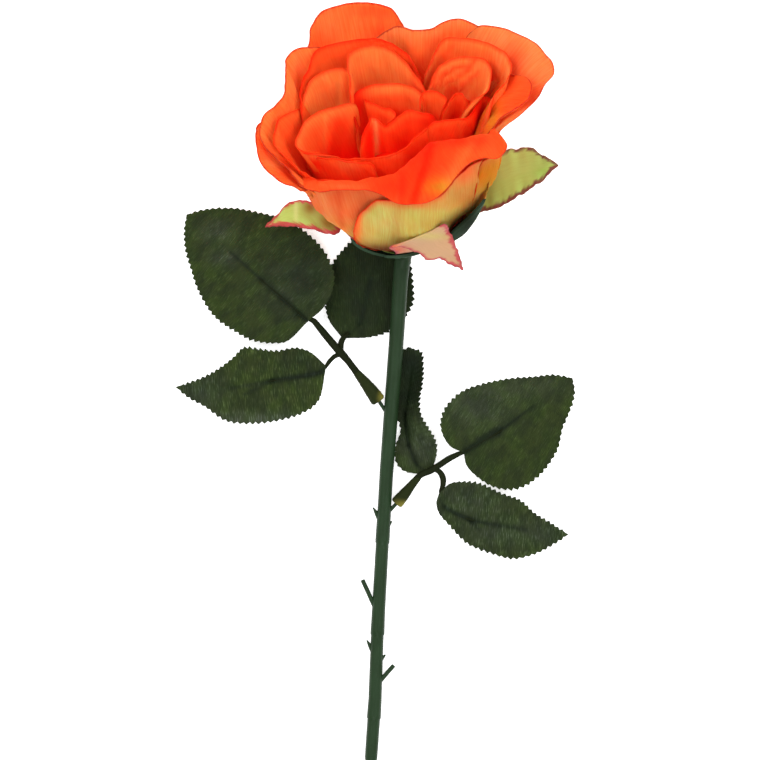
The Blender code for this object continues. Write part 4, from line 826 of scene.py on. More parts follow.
def smooth_line(points, count):
    """Evenly spaced points on a smooth curve through the given ones."""
    known = np.array(points, float)
    ends = np.vstack([2 * known[0] - known[1], known, 2 * known[-1] - known[-2]])
    steps = np.linalg.norm(np.diff(ends[:, :3], axis=0), axis=1)
    knots = np.concatenate([[0.0], np.cumsum(np.sqrt(steps))])
    lengths = np.concatenate([[0.0], np.cumsum(steps[1:-1])])
    line = []
    for knot in np.interp(np.linspace(0.0, lengths[-1], count), lengths, knots[1:-1]):
        first = min(max(int(np.searchsorted(knots, knot, side="right")) - 2, 0), len(known) - 2)
        line.append(smooth_point(ends[first:first + 4], knots[first:first + 4], knot))
    return np.array(line)


def line_length(points):
    """The length of the straight line from point to point."""
    return float(np.linalg.norm(np.diff(np.array(points, float)[:, :3], axis=0), axis=1).sum())


def arc_lengths(grid, axis):
    """The length in mm from the first row or column to each point of a grid."""
    steps = np.linalg.norm(np.diff(grid, axis=axis), axis=2)
    start = np.zeros_like(np.take(steps, [0], axis))
    return np.concatenate([start, np.cumsum(steps, axis=axis)], axis=axis)


def edge_distance(grid, open_start):
    """The distance in mm from each point of a grid to the nearest cut edge of the cloth."""
    along = arc_lengths(grid, 0)
    across = arc_lengths(grid, 1)
    nearest = np.minimum(along[-1:] - along, np.minimum(across, across[:, -1:] - across))
    return nearest if open_start else np.minimum(nearest, along)


def grid_normals(grid):
    """Unit normals of a grid of points."""
    normals = np.cross(np.gradient(grid, axis=1), np.gradient(grid, axis=0))
    return normals / np.maximum(np.linalg.norm(normals, axis=2, keepdims=True), 1e-9)


def between(left, middle, right, side):
    """A grid from a left line, where side is -1, over a middle line to a right line, where it is 1."""
    return np.where(side < 0, blend(middle[:, None], left[:, None], -side),
                    blend(middle[:, None], right[:, None], side))


def waves(positions, table, random):
    """A sum of soft waves, given as length and height in mm, with random stretches and phases."""
    total = np.zeros_like(positions)
    for length, height in table:
        stretched = length * random.uniform(*WAVE_STRETCH)
        phase = random.uniform(0, 2 * math.pi)
        total = total + height * np.sin(2 * math.pi * positions / stretched + phase)
    return total


def crease_height(name, grid):
    """How far the creases of a piece lift each of its points."""
    total = np.zeros(grid.shape[:2])
    for first_x, first_y, last_x, last_y, width, depth in CREASES.get(name, ()):
        start = on_drawing(first_x, first_y, 0.0)[:2]
        step = on_drawing(last_x, last_y, 0.0)[:2] - start
        share = np.clip((grid[..., :2] - start) @ step / (step @ step), 0.0, 1.0)
        apart = np.linalg.norm(grid[..., :2] - start - share[..., None] * step, axis=2)
        total += depth * np.exp(-(apart / width) ** 2)
    return total


def dyed(grid, dye):
    """The same dye at each point of a grid."""
    return np.ones_like(grid) * np.array(dye)


def stained_and_painted_light(name, grid, tint):
    """A dye with the soft marks of a piece: its stains, and its painted shade, highlights and sheen."""
    for x, y, across, along, dye, strength in STAINS_AND_PAINTED_LIGHT.get(name, ()):
        place = on_drawing(x, y, 0.0)
        apart = np.hypot((grid[..., 0] - place[0]) / (across * MM_PER_UNIT),
                         (grid[..., 1] - place[1]) / (along * MM_PER_UNIT))
        tint = blend(tint, np.array(dye), strength * np.exp(-apart ** 2)[..., None])
    return tint


def linked(name, data):
    """A new object in the scene."""
    item = bpy.data.objects.new(name, data)
    bpy.context.scene.collection.objects.link(item)
    return item


def add_dye(mesh, tint):
    """Stores a colour at each vertex of a mesh."""
    dye = mesh.color_attributes.new("tint", "FLOAT_COLOR", "POINT")
    dye.data.foreach_set("color", np.hstack([tint, np.ones((len(tint), 1))]).astype(np.float32).ravel())


def cloth(name, grid, tint, edge, surface, threads=None):
    """A mesh of cloth through points in mm, with its dye, its distance to the edge and its threads."""
    rows, columns = grid.shape[:2]
    corners = np.arange(rows * columns).reshape(rows, columns)
    faces = np.stack([corners[:-1, :-1], corners[:-1, 1:], corners[1:, 1:], corners[1:, :-1]], axis=2)
    mesh = bpy.data.meshes.new(name)
    mesh.from_pydata((grid * METRES_PER_MM).reshape(-1, 3).tolist(), [], faces.reshape(-1, 4).tolist())
    add_dye(mesh, tint.reshape(-1, 3))
    distance = mesh.attributes.new("edge", "FLOAT", "POINT")
    distance.data.foreach_set("value", edge.astype(np.float32).ravel())
    if threads is None:
        across = arc_lengths(grid, 1)
        threads = np.stack([across - across[:, -1:] / 2, arc_lengths(grid, 0)], axis=2)
    layer = mesh.uv_layers.new(name="threads")
    layer.data.foreach_set("uv", threads.reshape(-1, 2)[faces.reshape(-1)].astype(np.float32).ravel())
    clean = bmesh.new()
    clean.from_mesh(mesh)
    bmesh.ops.remove_doubles(clean, verts=clean.verts, dist=0.000002)
    clean.to_mesh(mesh)
    clean.free()
    mesh.shade_smooth()
    mesh.materials.append(surface)
    return mesh


def sharpen_cut_edges(mesh):
    """Keeps the cut edge of thin cloth crisp."""
    uses = np.zeros(len(mesh.edges), int)
    for loop in mesh.loops:
        uses[loop.edge_index] += 1
    sharp = mesh.attributes.new("sharp_edge", "BOOLEAN", "EDGE")
    sharp.data.foreach_set("value", uses == 1)


def add_piece(name, mesh, node, thickness=None):
    """Adds a piece that rides with the rose and stands for a node, and thickens it if it is cloth."""
    piece = linked(name, mesh)
    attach(piece, "root")
    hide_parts(node)
    if thickness:
        sharpen_cut_edges(mesh)
        solid = piece.modifiers.new("Thickness", "SOLIDIFY")
        solid.thickness = thickness * METRES_PER_MM
        solid.offset = 0.0


def inside_bowl(points, layer):
    """Petal points moved in, where they are low, so that their feet are inside the core."""
    radii, heights = np.array(BOWL).T
    right, rear, height = points[..., 0], points[..., 1], points[..., 2]
    radius = np.maximum(np.hypot(right, rear), 0.01)
    rearward = np.interp(rear / radius, REAR_SHARE, (0.0, 1.0))
    low = blend(FREE_ELSEWHERE[0], FREE_AT_REAR[0], rearward)
    high = blend(FREE_ELSEWHERE[1], FREE_AT_REAR[1], rearward)
    freedom = np.clip((height - low) / (high - low), 0.0, 1.0)
    clearance = np.interp(height, FREE_AT_REAR, (LOW_CLEARANCE, HIGH_CLEARANCE)) + layer
    wide = np.interp(height, heights, radii) + bulge(np.degrees(np.arctan2(right, -rear)), height)
    limit = wide - clearance + FREE_REACH * freedom ** 2
    scale = np.minimum(1.0, limit / radius)
    return np.stack([right * scale, rear * scale, height], axis=-1)


def settled(grid, layer):
    """The places lifted where they would pass through the layer that they rest on, softly."""
    floor = RESTING_HEIGHT + layer
    over = grid[..., 2] - floor
    lifted = grid.copy()
    lifted[..., 2] = floor + 0.5 * (over + np.hypot(over, RESTING_SOFTNESS))
    return lifted


def petal_roots(tips):
    """Where each column of a petal starts, gathered near the bloom's axis."""
    middle = tips[:, :2].mean(axis=0)
    root_middle = middle / max(np.linalg.norm(middle), 0.01) * PETAL_ROOT_RADIUS
    return np.column_stack([root_middle + PETAL_SWING * (tips[:, :2] - middle),
                            np.full(len(tips), PETAL_ROOT_HEIGHT)])


def folded_petal_points(rim):
    """A petal whose upper part is folded out and down over a crest, in the bloom's directions."""
    seen = [(*seen_in_bloom(*place[:3]), *seen_in_bloom(*place[3:])) for place in rim]
    edge = smooth_line(seen, round(line_length(seen) / PETAL_STEP) + 1)
    tips, crest = edge[:, :3], edge[:, 3:]
    roots = petal_roots(tips)
    steps = [roots]
    for reach, rise in FOLDED:
        steps.append(np.hstack([blend(roots[:, :2], tips[:, :2], reach), rise * crest[:, 2:]]))
    length = np.linalg.norm(tips - crest, axis=1, keepdims=True)
    lift = FOLD_LIFT * np.minimum(length / FULL_LIFT_LENGTH, 1.0) * np.array([0.0, 0.0, 1.0])
    steps += [crest, blend(crest, tips, FOLD_MIDDLE) + lift, tips]
    return np.stack([smooth_line(line, PETAL_ROWS + 1) for line in np.stack(steps, axis=1)], axis=1)


def petal_points(shape, rim, rounding):
    """A petal whose rows run from its root near the bloom's axis to its rim, in the bloom's directions."""
    seen = [(*seen_in_bloom(x, y, height), *(curl or [0.0])) for x, y, height, *curl in rim]
    columns = max(LEAST_PETAL_COLUMNS, round(line_length(seen) / PETAL_STEP))
    edge = smooth_line(seen, columns + 1)
    tips = edge[:, :3]
    curl = np.clip(edge[:, 3], 0.0, 1.0)[:, None]
    roots = petal_roots(tips)
    steps = [roots]
    for plain, curled in zip(np.array(shape), np.array(CURLED)):
        reach, rise = np.hsplit(blend(plain, curled, curl), 2)
        steps.append(np.hstack([blend(roots[:, :2], tips[:, :2], reach), rise * tips[:, 2:]]))
    steps.append(tips)
    number = np.arange(columns + 1)
    end_share = np.minimum(number, columns - number) / columns / rounding
    corner = 1.0 - np.sqrt(1.0 - (1.0 - np.minimum(end_share, 1.0)) ** 2)
    along = np.linspace(0.0, 1.0, PETAL_ROWS + 1)[:, None] * (1.0 - PETAL_TUCK * corner)
    along = along[:, :, None]
    back = 1.0 - along
    return (back ** 3 * steps[0] + 3 * back * back * along * steps[1]
            + 3 * back * along * along * steps[2] + along ** 3 * steps[3])


def softened(name, grid, layer, random):
    """The petal with its rolled rim, its rippled edge, its long soft folds and its creases."""
    normals = grid_normals(grid)
    outward = grid - BLOOM_ORIGIN
    outward = outward - (outward @ BLOOM_AXIS)[..., None] * BLOOM_AXIS
    if (normals * outward).sum() < 0:
        normals = -normals
    share = np.linspace(0.0, 1.0, grid.shape[0])[:, None]
    across = arc_lengths(grid, 1)
    rolled = np.clip(1.0 - edge_distance(grid, True) / ROLL_WIDTH, 0.0, 1.0) ** 2
    roll = rolled * ROLL_DEPTH * smooth_step(*ROLL_START, share)
    ripple = waves(across, RIPPLES, random) * smooth_step(*RIPPLE_START, share)
    fold = waves(across + FOLD_SLANT * share, FOLDS, random) * smooth_step(*FOLD_START, share)
    moved = grid + normals * (roll + ripple + fold + crease_height(name, grid))[..., None]
    return settled(moved, layer - PETAL_THICKNESS)


def petal_tint(name, grid):
    """A petal's dye by distance from the rim, with marks and painted shade and light at its rims and creases.
    """
    rim, belly, root, belly_start, root_start = PETAL_DYES[name]
    along = arc_lengths(grid, 0)
    inward = (along[-1:] - along)[..., None]
    tint = blend(np.array(rim), np.array(belly), smooth_step(0.0, belly_start, inward))
    tint = blend(tint, np.array(root), smooth_step(belly_start, root_start, inward))
    tint = stained_and_painted_light(name, grid, tint)
    if name not in RIM_SCALES:
        inner = smooth_step(*SOFT_RIM, edge_distance(grid, True))[..., None]
        tint = blend(tint * np.array(RIM_PAINTED_SHADE), tint, inner)
    crease = crease_height(name, grid)[..., None]
    tint = blend(tint, tint * np.array(VALLEY_PAINTED_SHADE), np.clip(-crease, 0.0, 1.0))
    return blend(tint, np.minimum(tint * np.array(RIDGE_PAINTED_LIGHT), PALEST), np.clip(crease, 0.0, 1.0))


def make_petals(surface):
    """Every petal of the bloom as its own thin cloth."""
    for index, (name, shape, rim) in enumerate(PETALS):
        random = np.random.default_rng(PETAL_SEED + index)
        layer = index * LAYER_STEP + EXTRA_LAYER.get(name, 0.0)
        rounding = SQUARE_CORNER if name in SQUARE_PETALS else PETAL_CORNER
        points = folded_petal_points(rim) if shape is FOLDED else petal_points(shape, rim, rounding)
        grid = settled(placed_in_bloom(inside_bowl(points, layer)), layer)
        grid = softened(name, grid, layer, random)
        edge = edge_distance(grid, True)
        edge = edge * RIM_SCALES[name] if name in RIM_SCALES else edge + DARK_RIM_END
        mesh = cloth("petal_" + name, grid, petal_tint(name, grid), edge, surface)
        add_piece("petal_" + name, mesh, "bloom", PETAL_THICKNESS)


def make_core(surface):
    """The gathered cloth that holds the petals' feet, seen only in the deepest folds."""
    radii, heights = np.array(CORE).T
    profile = smooth_line(np.column_stack([radii, np.zeros_like(radii), heights]), CORE_ROWS)
    height = profile[:, 2:]
    turns = np.radians(np.linspace(0.0, 360.0, CORE_COLUMNS + 1))
    pleats = 1.0 + sum(depth * np.sin(turns * count) for count, depth in CORE_PLEATS)
    radius = profile[:, :1] * pleats
    points = np.stack([radius * np.sin(turns), radius * np.cos(turns), height * np.ones_like(turns)], axis=2)
    grid = settled(placed_in_bloom(points), 0.0)
    blush = smooth_step(*CORE_BLUSH, height[..., None])
    tint = np.ones_like(grid) * blend(np.array(OCHRE), np.array(DEEP_RED), blush)
    mesh = cloth("petal_core", grid, tint, np.full(grid.shape[:2], NO_EDGE), surface)
    add_piece("petal_core", mesh, "bloom")


def sepal_lines(name):
    """The left edge, the middle and the right edge of a sepal, from its foot to its tip."""
    azimuth = SEPALS[name][0] if name in SEPALS else HIDDEN_SEPALS[name][0]
    lines = [[], [], []]
    for reach, half_width in SEPAL_FOOT:
        for line, side in zip(lines, (-1, 0, 1)):
            line.append(on_bowl(azimuth + side * half_width, reach, SEPAL_OFFSET))
    if name in SEPALS:
        for row in SEPALS[name][1]:
            for line, place in zip(lines, row):
                line.append(placed_in_bloom(seen_in_bloom(*place)))
        return lines
    _, tip_azimuth, tip_reach, tip_height = HIDDEN_SEPALS[name]
    last_reach = SEPAL_FOOT[-1][0]
    last_height = np.interp(last_reach, *np.array(BOWL).T)
    for share, half_width in HIDDEN_SEPAL_ROWS:
        radius = blend(last_reach, tip_reach, share)
        height = blend(last_height, tip_height, share) - SEPAL_OFFSET
        for line, side in zip(lines, (-1, 0, 1)):
            direction = blend(azimuth, tip_azimuth, share) + side * half_width
            line.append(around_bloom(direction, radius, height))
    return lines


def sepal_grid(name, random):
    """Places of a sepal, with a frayed and rippled edge."""
    left, middle, right = [smooth_line(line, SEPAL_ROWS + 1) for line in sepal_lines(name)]
    side = np.linspace(-1.0, 1.0, SEPAL_COLUMNS + 1)[None, :, None]
    grid = between(left, middle, right, side)
    share = np.linspace(0.0, 1.0, SEPAL_ROWS + 1)[:, None, None]
    fray = random.normal(0.0, 1.0, (SEPAL_ROWS + 1, 2))
    fray = 0.5 * (fray + np.roll(fray, 1, axis=0))
    reach = np.where(side < 0, fray[:, None, :1], fray[:, None, 1:]) * np.abs(side) ** FRAY_POWER
    width = np.linalg.norm(right - left, axis=1)[:, None, None]
    outward = (right - left)[:, None] / np.maximum(width, 0.5) * np.sign(side)
    grid = grid + outward * reach * FRAY * smooth_step(*FRAY_START, share)
    normals = grid_normals(grid)
    away = np.abs(side[..., 0])
    share = share[..., 0]
    ripple = waves(line_length(middle) * share + SEPAL_RIPPLE_SLANT * away, SEPAL_RIPPLES, random)
    lift = ripple * away * smooth_step(*SEPAL_RIPPLE_START, share)
    grid = grid + normals * lift[..., None]
    grid[..., 2] = np.maximum(grid[..., 2], SEPAL_THICKNESS / 2 + LEAST_HEIGHT)
    return grid


def sepal_tint(name, grid, edge):
    """Lime cloth with a ragged crimson edge; the front sepal is rose."""
    dye, (left_width, right_width) = SEPAL_EDGES.get(name, SEPAL_EDGES["sepal_right"])
    width = np.linspace(left_width, right_width, grid.shape[1])[None, :]
    along = arc_lengths(grid, 0)
    quick, slow = SEPAL_EDGE_RATES
    ragged = edge + SEPAL_EDGE_RAGS * width * np.sin(along * quick) * np.sin(along * slow + 1.0)
    crimson = 1.0 - smooth_step(*SEPAL_EDGE_FADE, ragged / width)[..., None]
    tint = stained_and_painted_light(name, grid, dyed(grid, SEPAL_ROSE if name == "sepal_front" else SEPAL_LIME))
    return blend(tint, np.array(dye), SEPAL_EDGE_STRENGTH * crimson)


def make_sepals(surface):
    """Five sepals and the ring that joins them between the cup and the bloom."""
    for index, name in enumerate((*SEPALS, *HIDDEN_SEPALS)):
        grid = sepal_grid(name, np.random.default_rng(SEPAL_SEED + index))
        edge = edge_distance(grid, True)
        mesh = cloth(name, grid, sepal_tint(name, grid, edge), edge, surface)
        add_piece(name, mesh, "sepals", SEPAL_THICKNESS)
    turns = np.linspace(0.0, 360.0, SEPAL_RING_COLUMNS + 1)
    ring = np.array([[on_bowl(azimuth, reach, SEPAL_OFFSET) for azimuth in turns]
                     for reach in np.linspace(*SEPAL_RING, SEPAL_RING_ROWS + 1)])
    mesh = cloth("sepal_ring", ring, dyed(ring, SEPAL_LIME), np.full(ring.shape[:2], NO_EDGE), surface)
    add_piece("sepal_ring", mesh, "sepals", SEPAL_THICKNESS)


def midrib(leaf, count):
    """Evenly spaced places on a leaf's midrib."""
    line = smooth_line(leaf["middle"], count)
    known = np.linspace(0.0, 1.0, len(leaf["heights"]))
    rise = np.interp(np.linspace(0.0, 1.0, count), known, leaf["heights"])
    return np.array([on_drawing(x, y, z) for (x, y), z in zip(line, rise)])


def leaf_edge(outline, middle, drop, random):
    """The toothed edge of a leaf: each tooth rises slowly and falls quickly towards the tip."""
    count = len(middle)
    sizes = random.uniform(*TOOTH_SIZES, count // TOOTH_ROWS + 1)
    edge = []
    for row, (x, y) in enumerate(smooth_line(outline, count)):
        share = row / (count - 1)
        spread = math.sin(math.pi * share) ** (DROP_POWER if drop > 0 else RISE_POWER)
        place = on_drawing(x, y, middle[row][2] - drop * spread)
        outward = place - middle[row]
        outward[2] = 0.0
        width = np.linalg.norm(outward)
        tooth = (row % TOOTH_ROWS) / TOOTH_ROWS
        depth = TOOTH_DEPTH * sizes[row // TOOTH_ROWS] * smooth_step(*TOOTHLESS_SHARE, share)
        bite = depth * (tooth / TOOTH_CREST if tooth < TOOTH_CREST else (1.0 - tooth) / (1.0 - TOOTH_CREST))
        if width > LEAST_HALF_WIDTH:
            place = place + outward / width * (bite - TOOTH_SINK * depth)
        edge.append(place)
    return np.array(edge)


def leaf_grid(name, random):
    """Places of a leaf blade, how far each is from the midrib, and how deep it lies in a side vein."""
    leaf = LEAVES[name]
    half = max(line_length(leaf["left"]), line_length(leaf["right"])) * MM_PER_UNIT
    count = TOOTH_ROWS * round(half / LEAF_TOOTH) + 1
    middle = midrib(leaf, count)
    left = leaf_edge(leaf["left"], middle, leaf["drops"][0], random)
    right = leaf_edge(leaf["right"], middle, leaf["drops"][1], random)
    side = np.linspace(-1.0, 1.0, LEAF_COLUMNS + 1)
    side = (np.sign(side) * np.abs(side) ** LEAF_COLUMN_SPREAD)[None, :, None]
    grid = between(left, middle, right, side)
    across = arc_lengths(grid, 1)
    away = np.abs(across - across[:, LEAF_COLUMNS // 2:LEAF_COLUMNS // 2 + 1])
    along = np.linspace(0.0, half, count)[:, None] * np.ones_like(away)
    groove_width, groove_depth = MIDRIB_GROOVE
    fade = 1.0 - smooth_step(*GROOVE_FADE, along / half)
    groove = -groove_depth * np.exp(-(away / groove_width) ** 2) * fade
    phase = (along - VEIN_SWEEP * away) / VEIN_SPACING
    in_vein = np.exp(-((phase - np.round(phase)) * VEIN_SPACING / VEIN_WIDTH) ** 2)
    vein = -VEIN_DEPTH * in_vein * smooth_step(*VEIN_START, away)
    wave = waves(along + LEAF_WAVE_SLANT * away, (LEAF_WAVE,), random) * smooth_step(*LEAF_WAVE_START, away)
    relief = (groove + vein + wave) * np.sqrt(np.sin(math.pi * along / half)) + crease_height(name, grid)
    grid[..., 2] = np.maximum(grid[..., 2] + relief, LEAF_THICKNESS / 2 + LEAST_HEIGHT)
    return grid, away, vein


def leaf_threads(grid, angle):
    """Places on the flat cloth, turned so that the first number runs across the threads."""
    turn = math.radians(angle)
    x, y = grid[..., 0], grid[..., 1]
    sine, cosine = math.sin(turn), math.cos(turn)
    return np.stack([x * sine - y * cosine, x * cosine + y * sine], axis=2)


def leaf_tint(name, grid, away, vein):
    """Green cloth with its marks, darker along the midrib, and with painted shade in the veins and creases.
    """
    fade = np.linspace(1.0, 0.0, grid.shape[0])[:, None]
    strength, half_width = MIDRIB_DARK
    dark = strength * fade * np.exp(-(away / half_width) ** 2) + VEIN_PAINTED_SHADE * np.abs(vein) / VEIN_DEPTH
    dark = dark - CREASE_PAINTED_SHADE * crease_height(name, grid)
    tint = stained_and_painted_light(name, grid, dyed(grid, LEAF_GREEN))
    return blend(tint, np.array(LEAF_DARK), np.clip(dark, 0.0, DARKEST)[..., None])


def make_leaves(plain, bright):
    """Every leaf blade as toothed and ribbed cloth."""
    for index, name in enumerate(LEAVES):
        grid, away, vein = leaf_grid(name, np.random.default_rng(LEAF_SEED + index))
        surface = bright if name in BRIGHT_LEAVES else plain
        mesh = cloth(name + "_cloth", grid, leaf_tint(name, grid, away, vein), edge_distance(grid, False),
                     surface, leaf_threads(grid, LEAVES[name]["thread"]))
        add_piece(name + "_cloth", mesh, name, LEAF_THICKNESS)


def ring_frames(line):
    """For each point of a line, two directions across it that don't twist."""
    tangents = np.gradient(line, axis=0)
    tangents = tangents / np.linalg.norm(tangents, axis=1, keepdims=True)
    first = np.cross(tangents[0], (0.0, 0.0, 1.0))
    sides = []
    for tangent in tangents:
        first = first - (first @ tangent) * tangent
        first = first / np.linalg.norm(first)
        sides.append((first, np.cross(tangent, first)))
    return np.array(sides)


def capped(line, radii):
    """A line and its radii with a rounded cap at each end."""
    angles = np.array(CAP_ANGLES)
    round_off = 1 - CAP_LENGTH * (1 - np.cos(angles))
    caps = []
    for end, beside in ((0, 1), (-1, -2)):
        tangent = line[end] - line[beside]
        tangent = tangent / np.linalg.norm(tangent)
        caps.append(line[end] + tangent * radii[end] * CAP_LENGTH * np.sin(angles)[:, None])
    line = np.vstack([caps[0][::-1], line, caps[1]])
    radii = np.concatenate([radii[0] * round_off[::-1], radii, radii[-1] * round_off])
    return line, radii


def tube(points, sides, random=None, roughness=0.0):
    """Vertices in mm and faces of a closed bar through places with radii, rounded at both ends."""
    points = np.array(points, float)
    line, radii = capped(points[:, :3], points[:, 3])
    frames = ring_frames(line)
    turns = np.linspace(0.0, 2 * math.pi, sides, endpoint=False)[None, :, None]
    rings = line[:, None] + radii[:, None, None] * (
        np.cos(turns) * frames[:, None, 0] + np.sin(turns) * frames[:, None, 1])
    if roughness:
        swell = random.normal(0.0, roughness, (len(line), sides))
        shifts = range(-SWELL_REACH, SWELL_REACH + 1)
        swell = sum(np.roll(swell, shift, axis=1) for shift in shifts) / len(shifts)
        rings = rings + (rings - line[:, None]) * swell[..., None]
    corners = np.arange(len(line) * sides).reshape(len(line), sides)
    after = np.roll(corners, -1, axis=1)
    faces = np.stack([corners[:-1], after[:-1], after[1:], corners[1:]], axis=2).reshape(-1, 4).tolist()
    faces.append(corners[0][::-1].tolist())
    faces.append(corners[-1].tolist())
    return rings.reshape(-1, 3), faces


def bars(name, parts, tints, surface):
    """One mesh of several bars, each with the colour of its first end and of the rest."""
    vertices = []
    faces = []
    colours = []
    for (places, loops), (first, last) in zip(parts, tints):
        start = sum(len(known) for known in vertices)
        vertices.append(places)
        faces += [[corner + start for corner in loop] for loop in loops]
        along = np.linalg.norm(places - places[0], axis=1)[:, None] / SLEEVE_END_WIDTH
        colours.append(blend(np.array(first), np.array(last), smooth_step(*SLEEVE_FADE, along)))
    mesh = bpy.data.meshes.new(name)
    mesh.from_pydata((np.vstack(vertices) * METRES_PER_MM).tolist(), [], faces)
    add_dye(mesh, np.vstack(colours))
    mesh.shade_smooth()
    mesh.set_sharp_from_angle(angle=SHARP_ANGLE)
    mesh.materials.append(surface)
    return mesh


def fine(points, step):
    """The same line with points no further apart than the step."""
    line = []
    for first, second in zip(points[:-1], points[1:]):
        first, second = np.array(first, float), np.array(second, float)
        count = max(1, math.ceil(np.linalg.norm((second - first)[:3]) / step))
        line += [blend(first, second, share) for share in np.linspace(0.0, 1.0, count, endpoint=False)]
    line.append(np.array(points[-1], float))
    return np.array(line)


def on_stem(x, y, rise=0.0):
    """A place of the drawing at the height of the stem's middle there, or a rise above it."""
    return on_drawing(x, y, STEM_END_RADIUS + STEM_SLOPE * (DRAWING_HEIGHT - y) * MM_PER_UNIT + rise)


def make_stem(surface):
    """The moulded stem with its collars, shoulder, pegs and thorns."""
    random = np.random.default_rng(STEM_SEED)
    path = [(*on_stem(x, y), diameter / 2) for x, y, diameter in STEM_PATH]
    path += [(*around_bloom(0.0, 0.0, height), diameter / 2) for height, diameter in SHOULDER]
    parts = [tube(fine(path, STEM_STEP), STEM_SIDES, random, STEM_ROUGHNESS)]
    for start, end, radius, rise in PEGS:
        line = [(*on_stem(*start), radius), (*on_stem(*end, rise), radius)]
        parts.append(tube(fine(line, STALK_STEP), STALK_SIDES, random, PEG_ROUGHNESS))
    for foot, tip, radius in THORNS:
        start, end = on_stem(*foot), on_stem(*tip)
        middle = blend(start, end, THORN_MIDDLE)
        line = [(*start, radius), (*middle, radius * THORN_MIDDLE_WIDTH), (*end, THORN_TIP_RADIUS)]
        parts.append(tube(smooth_line(line, THORN_RINGS), STALK_SIDES))
    mesh = bars("stem_plastic", parts, [(STEM_GREEN, STEM_GREEN)] * len(parts), surface)
    add_piece("stem_moulding", mesh, "stem")


def rib_line(name, foot, start, end):
    """A thin rib from a stalk's end along the underside of a leaf's midrib."""
    line = midrib(LEAVES[name], RIB_STEPS + 1)
    first, last = round(RIB_STEPS * start), round(RIB_STEPS * end)
    x, y, height, radius = foot
    points = [(*on_drawing(x, y, height), radius)]
    for index in np.linspace(first, last, RIB_PLACES).round().astype(int):
        x, y, z = line[index]
        radius = blend(RIB_RADIUS, RIB_TIP_RADIUS, (index - first) / (last - first))
        points.append((x, y, z - RIB_CLEARANCE, radius))
    return points


def make_stalks(surface):
    """The branched leaf stalks with their sleeves and the ribs under the leaves."""
    for seed, (name, lines) in enumerate(STALKS.items()):
        random = np.random.default_rng(STALK_SEED + seed)
        curves = []
        for line in lines:
            places = [(*on_drawing(x, y, height), radius) for x, y, height, radius in line]
            count = max(LEAST_STALK_RINGS, round(line_length(places) / STALK_STEP))
            curves.append(smooth_line(places, count))
        for owner, leaf, index, start, end in RIBS:
            if owner == name:
                curves.append(smooth_line(rib_line(leaf, lines[index][-1], start, end), RIB_STEPS))
        parts = [tube(curve, STALK_SIDES, random, STALK_ROUGHNESS) for curve in curves]
        tints = [(SLEEVE_END, SLEEVE_GREEN)] + [(STALK_GREEN, STALK_GREEN)] * (len(parts) - 1)
        mesh = bars(name + "_moulding", parts, tints, surface)
        add_piece(name + "_moulding", mesh, name)


def lobe_reach(azimuth):
    """How far the cup reaches on the bowl in this direction, and how far its edge stands off."""
    reach = CUP_VALLEY
    stand_off = 0.0
    for middle, half_width, tip, stand in CUP_LOBES:
        away = abs(turn_between(azimuth, middle)) / half_width
        if away < 1.0:
            share = (1.0 - away ** 2) ** CUP_LOBE_FULLNESS
            reach = max(reach, blend(CUP_VALLEY, tip, share))
            stand_off = stand * share
    return reach, stand_off


def make_cup(surface):
    """The plastic calyx cup: a dish with five lobes and shallow moulded ridges."""
    rows = []
    for along in np.linspace(0.0, 1.0, CUP_ROWS + 1):
        ring = []
        for azimuth in np.linspace(0.0, 360.0, CUP_COLUMNS + 1):
            reach, stand_off = lobe_reach(azimuth)
            ridge = math.sin(math.radians(azimuth) * CUP_RIDGES) * math.sin(math.pi * along)
            lift = stand_off * along ** CUP_STAND_OFF_POWER + CUP_RIDGE_HEIGHT * ridge
            ring.append(on_bowl(azimuth, blend(CUP_HOLE, reach, along ** CUP_ROW_SPREAD), CUP_OFFSET + lift))
        rows.append(ring)
    grid = np.array(rows)
    tint = stained_and_painted_light("calyx_cup", grid, dyed(grid, CUP_GREEN))
    mesh = cloth("calyx_cup_moulding", grid, tint, np.full(grid.shape[:2], NO_EDGE), surface)
    add_piece("calyx_cup_moulding", mesh, "calyx_cup", CUP_THICKNESS)


def add_node(tree, kind, inputs=None, **settings):
    """A shader node with its settings, and its inputs set to values or joined to sockets."""
    item = tree.nodes.new(kind)
    for key, value in settings.items():
        setattr(item, key, value)
    for key, value in (inputs or {}).items():
        if isinstance(value, bpy.types.NodeSocket):
            tree.links.new(value, item.inputs[key])
        else:
            item.inputs[key].default_value = value
    return item


def maths(tree, operation, *values):
    """One sum on values or sockets."""
    return add_node(tree, "ShaderNodeMath", dict(enumerate(values)), operation=operation).outputs[0]


def plus_some(tree, first, second, factor):
    """The first value plus a multiple of the second."""
    return maths(tree, "ADD", first, maths(tree, "MULTIPLY", second, factor))


def mixed(tree, share, first, second, blend_type="MIX"):
    """Two colours mixed by a share."""
    inputs = {0: share, 6: first, 7: second}
    return add_node(tree, "ShaderNodeMix", inputs, data_type="RGBA", blend_type=blend_type).outputs[2]


def mapped(tree, value, from_low, from_high, to_low, to_high):
    """A value mapped softly from one range to another."""
    inputs = {0: value, 1: from_low, 2: from_high, 3: to_low, 4: to_high}
    return add_node(tree, "ShaderNodeMapRange", inputs, interpolation_type="SMOOTHSTEP").outputs[0]


def scaled_noise(tree, vector, scale, detail):
    """Noise on places stretched by a scale along each direction."""
    stretched = add_node(tree, "ShaderNodeMapping", {"Vector": vector, "Scale": scale}).outputs[0]
    inputs = {"Vector": stretched, "Scale": 1.0, "Detail": detail}
    return add_node(tree, "ShaderNodeTexNoise", inputs).outputs[0]


def stored(tree, name, output):
    """A value that the mesh holds at each vertex."""
    return add_node(tree, "ShaderNodeAttribute", attribute_name=name).outputs[output]


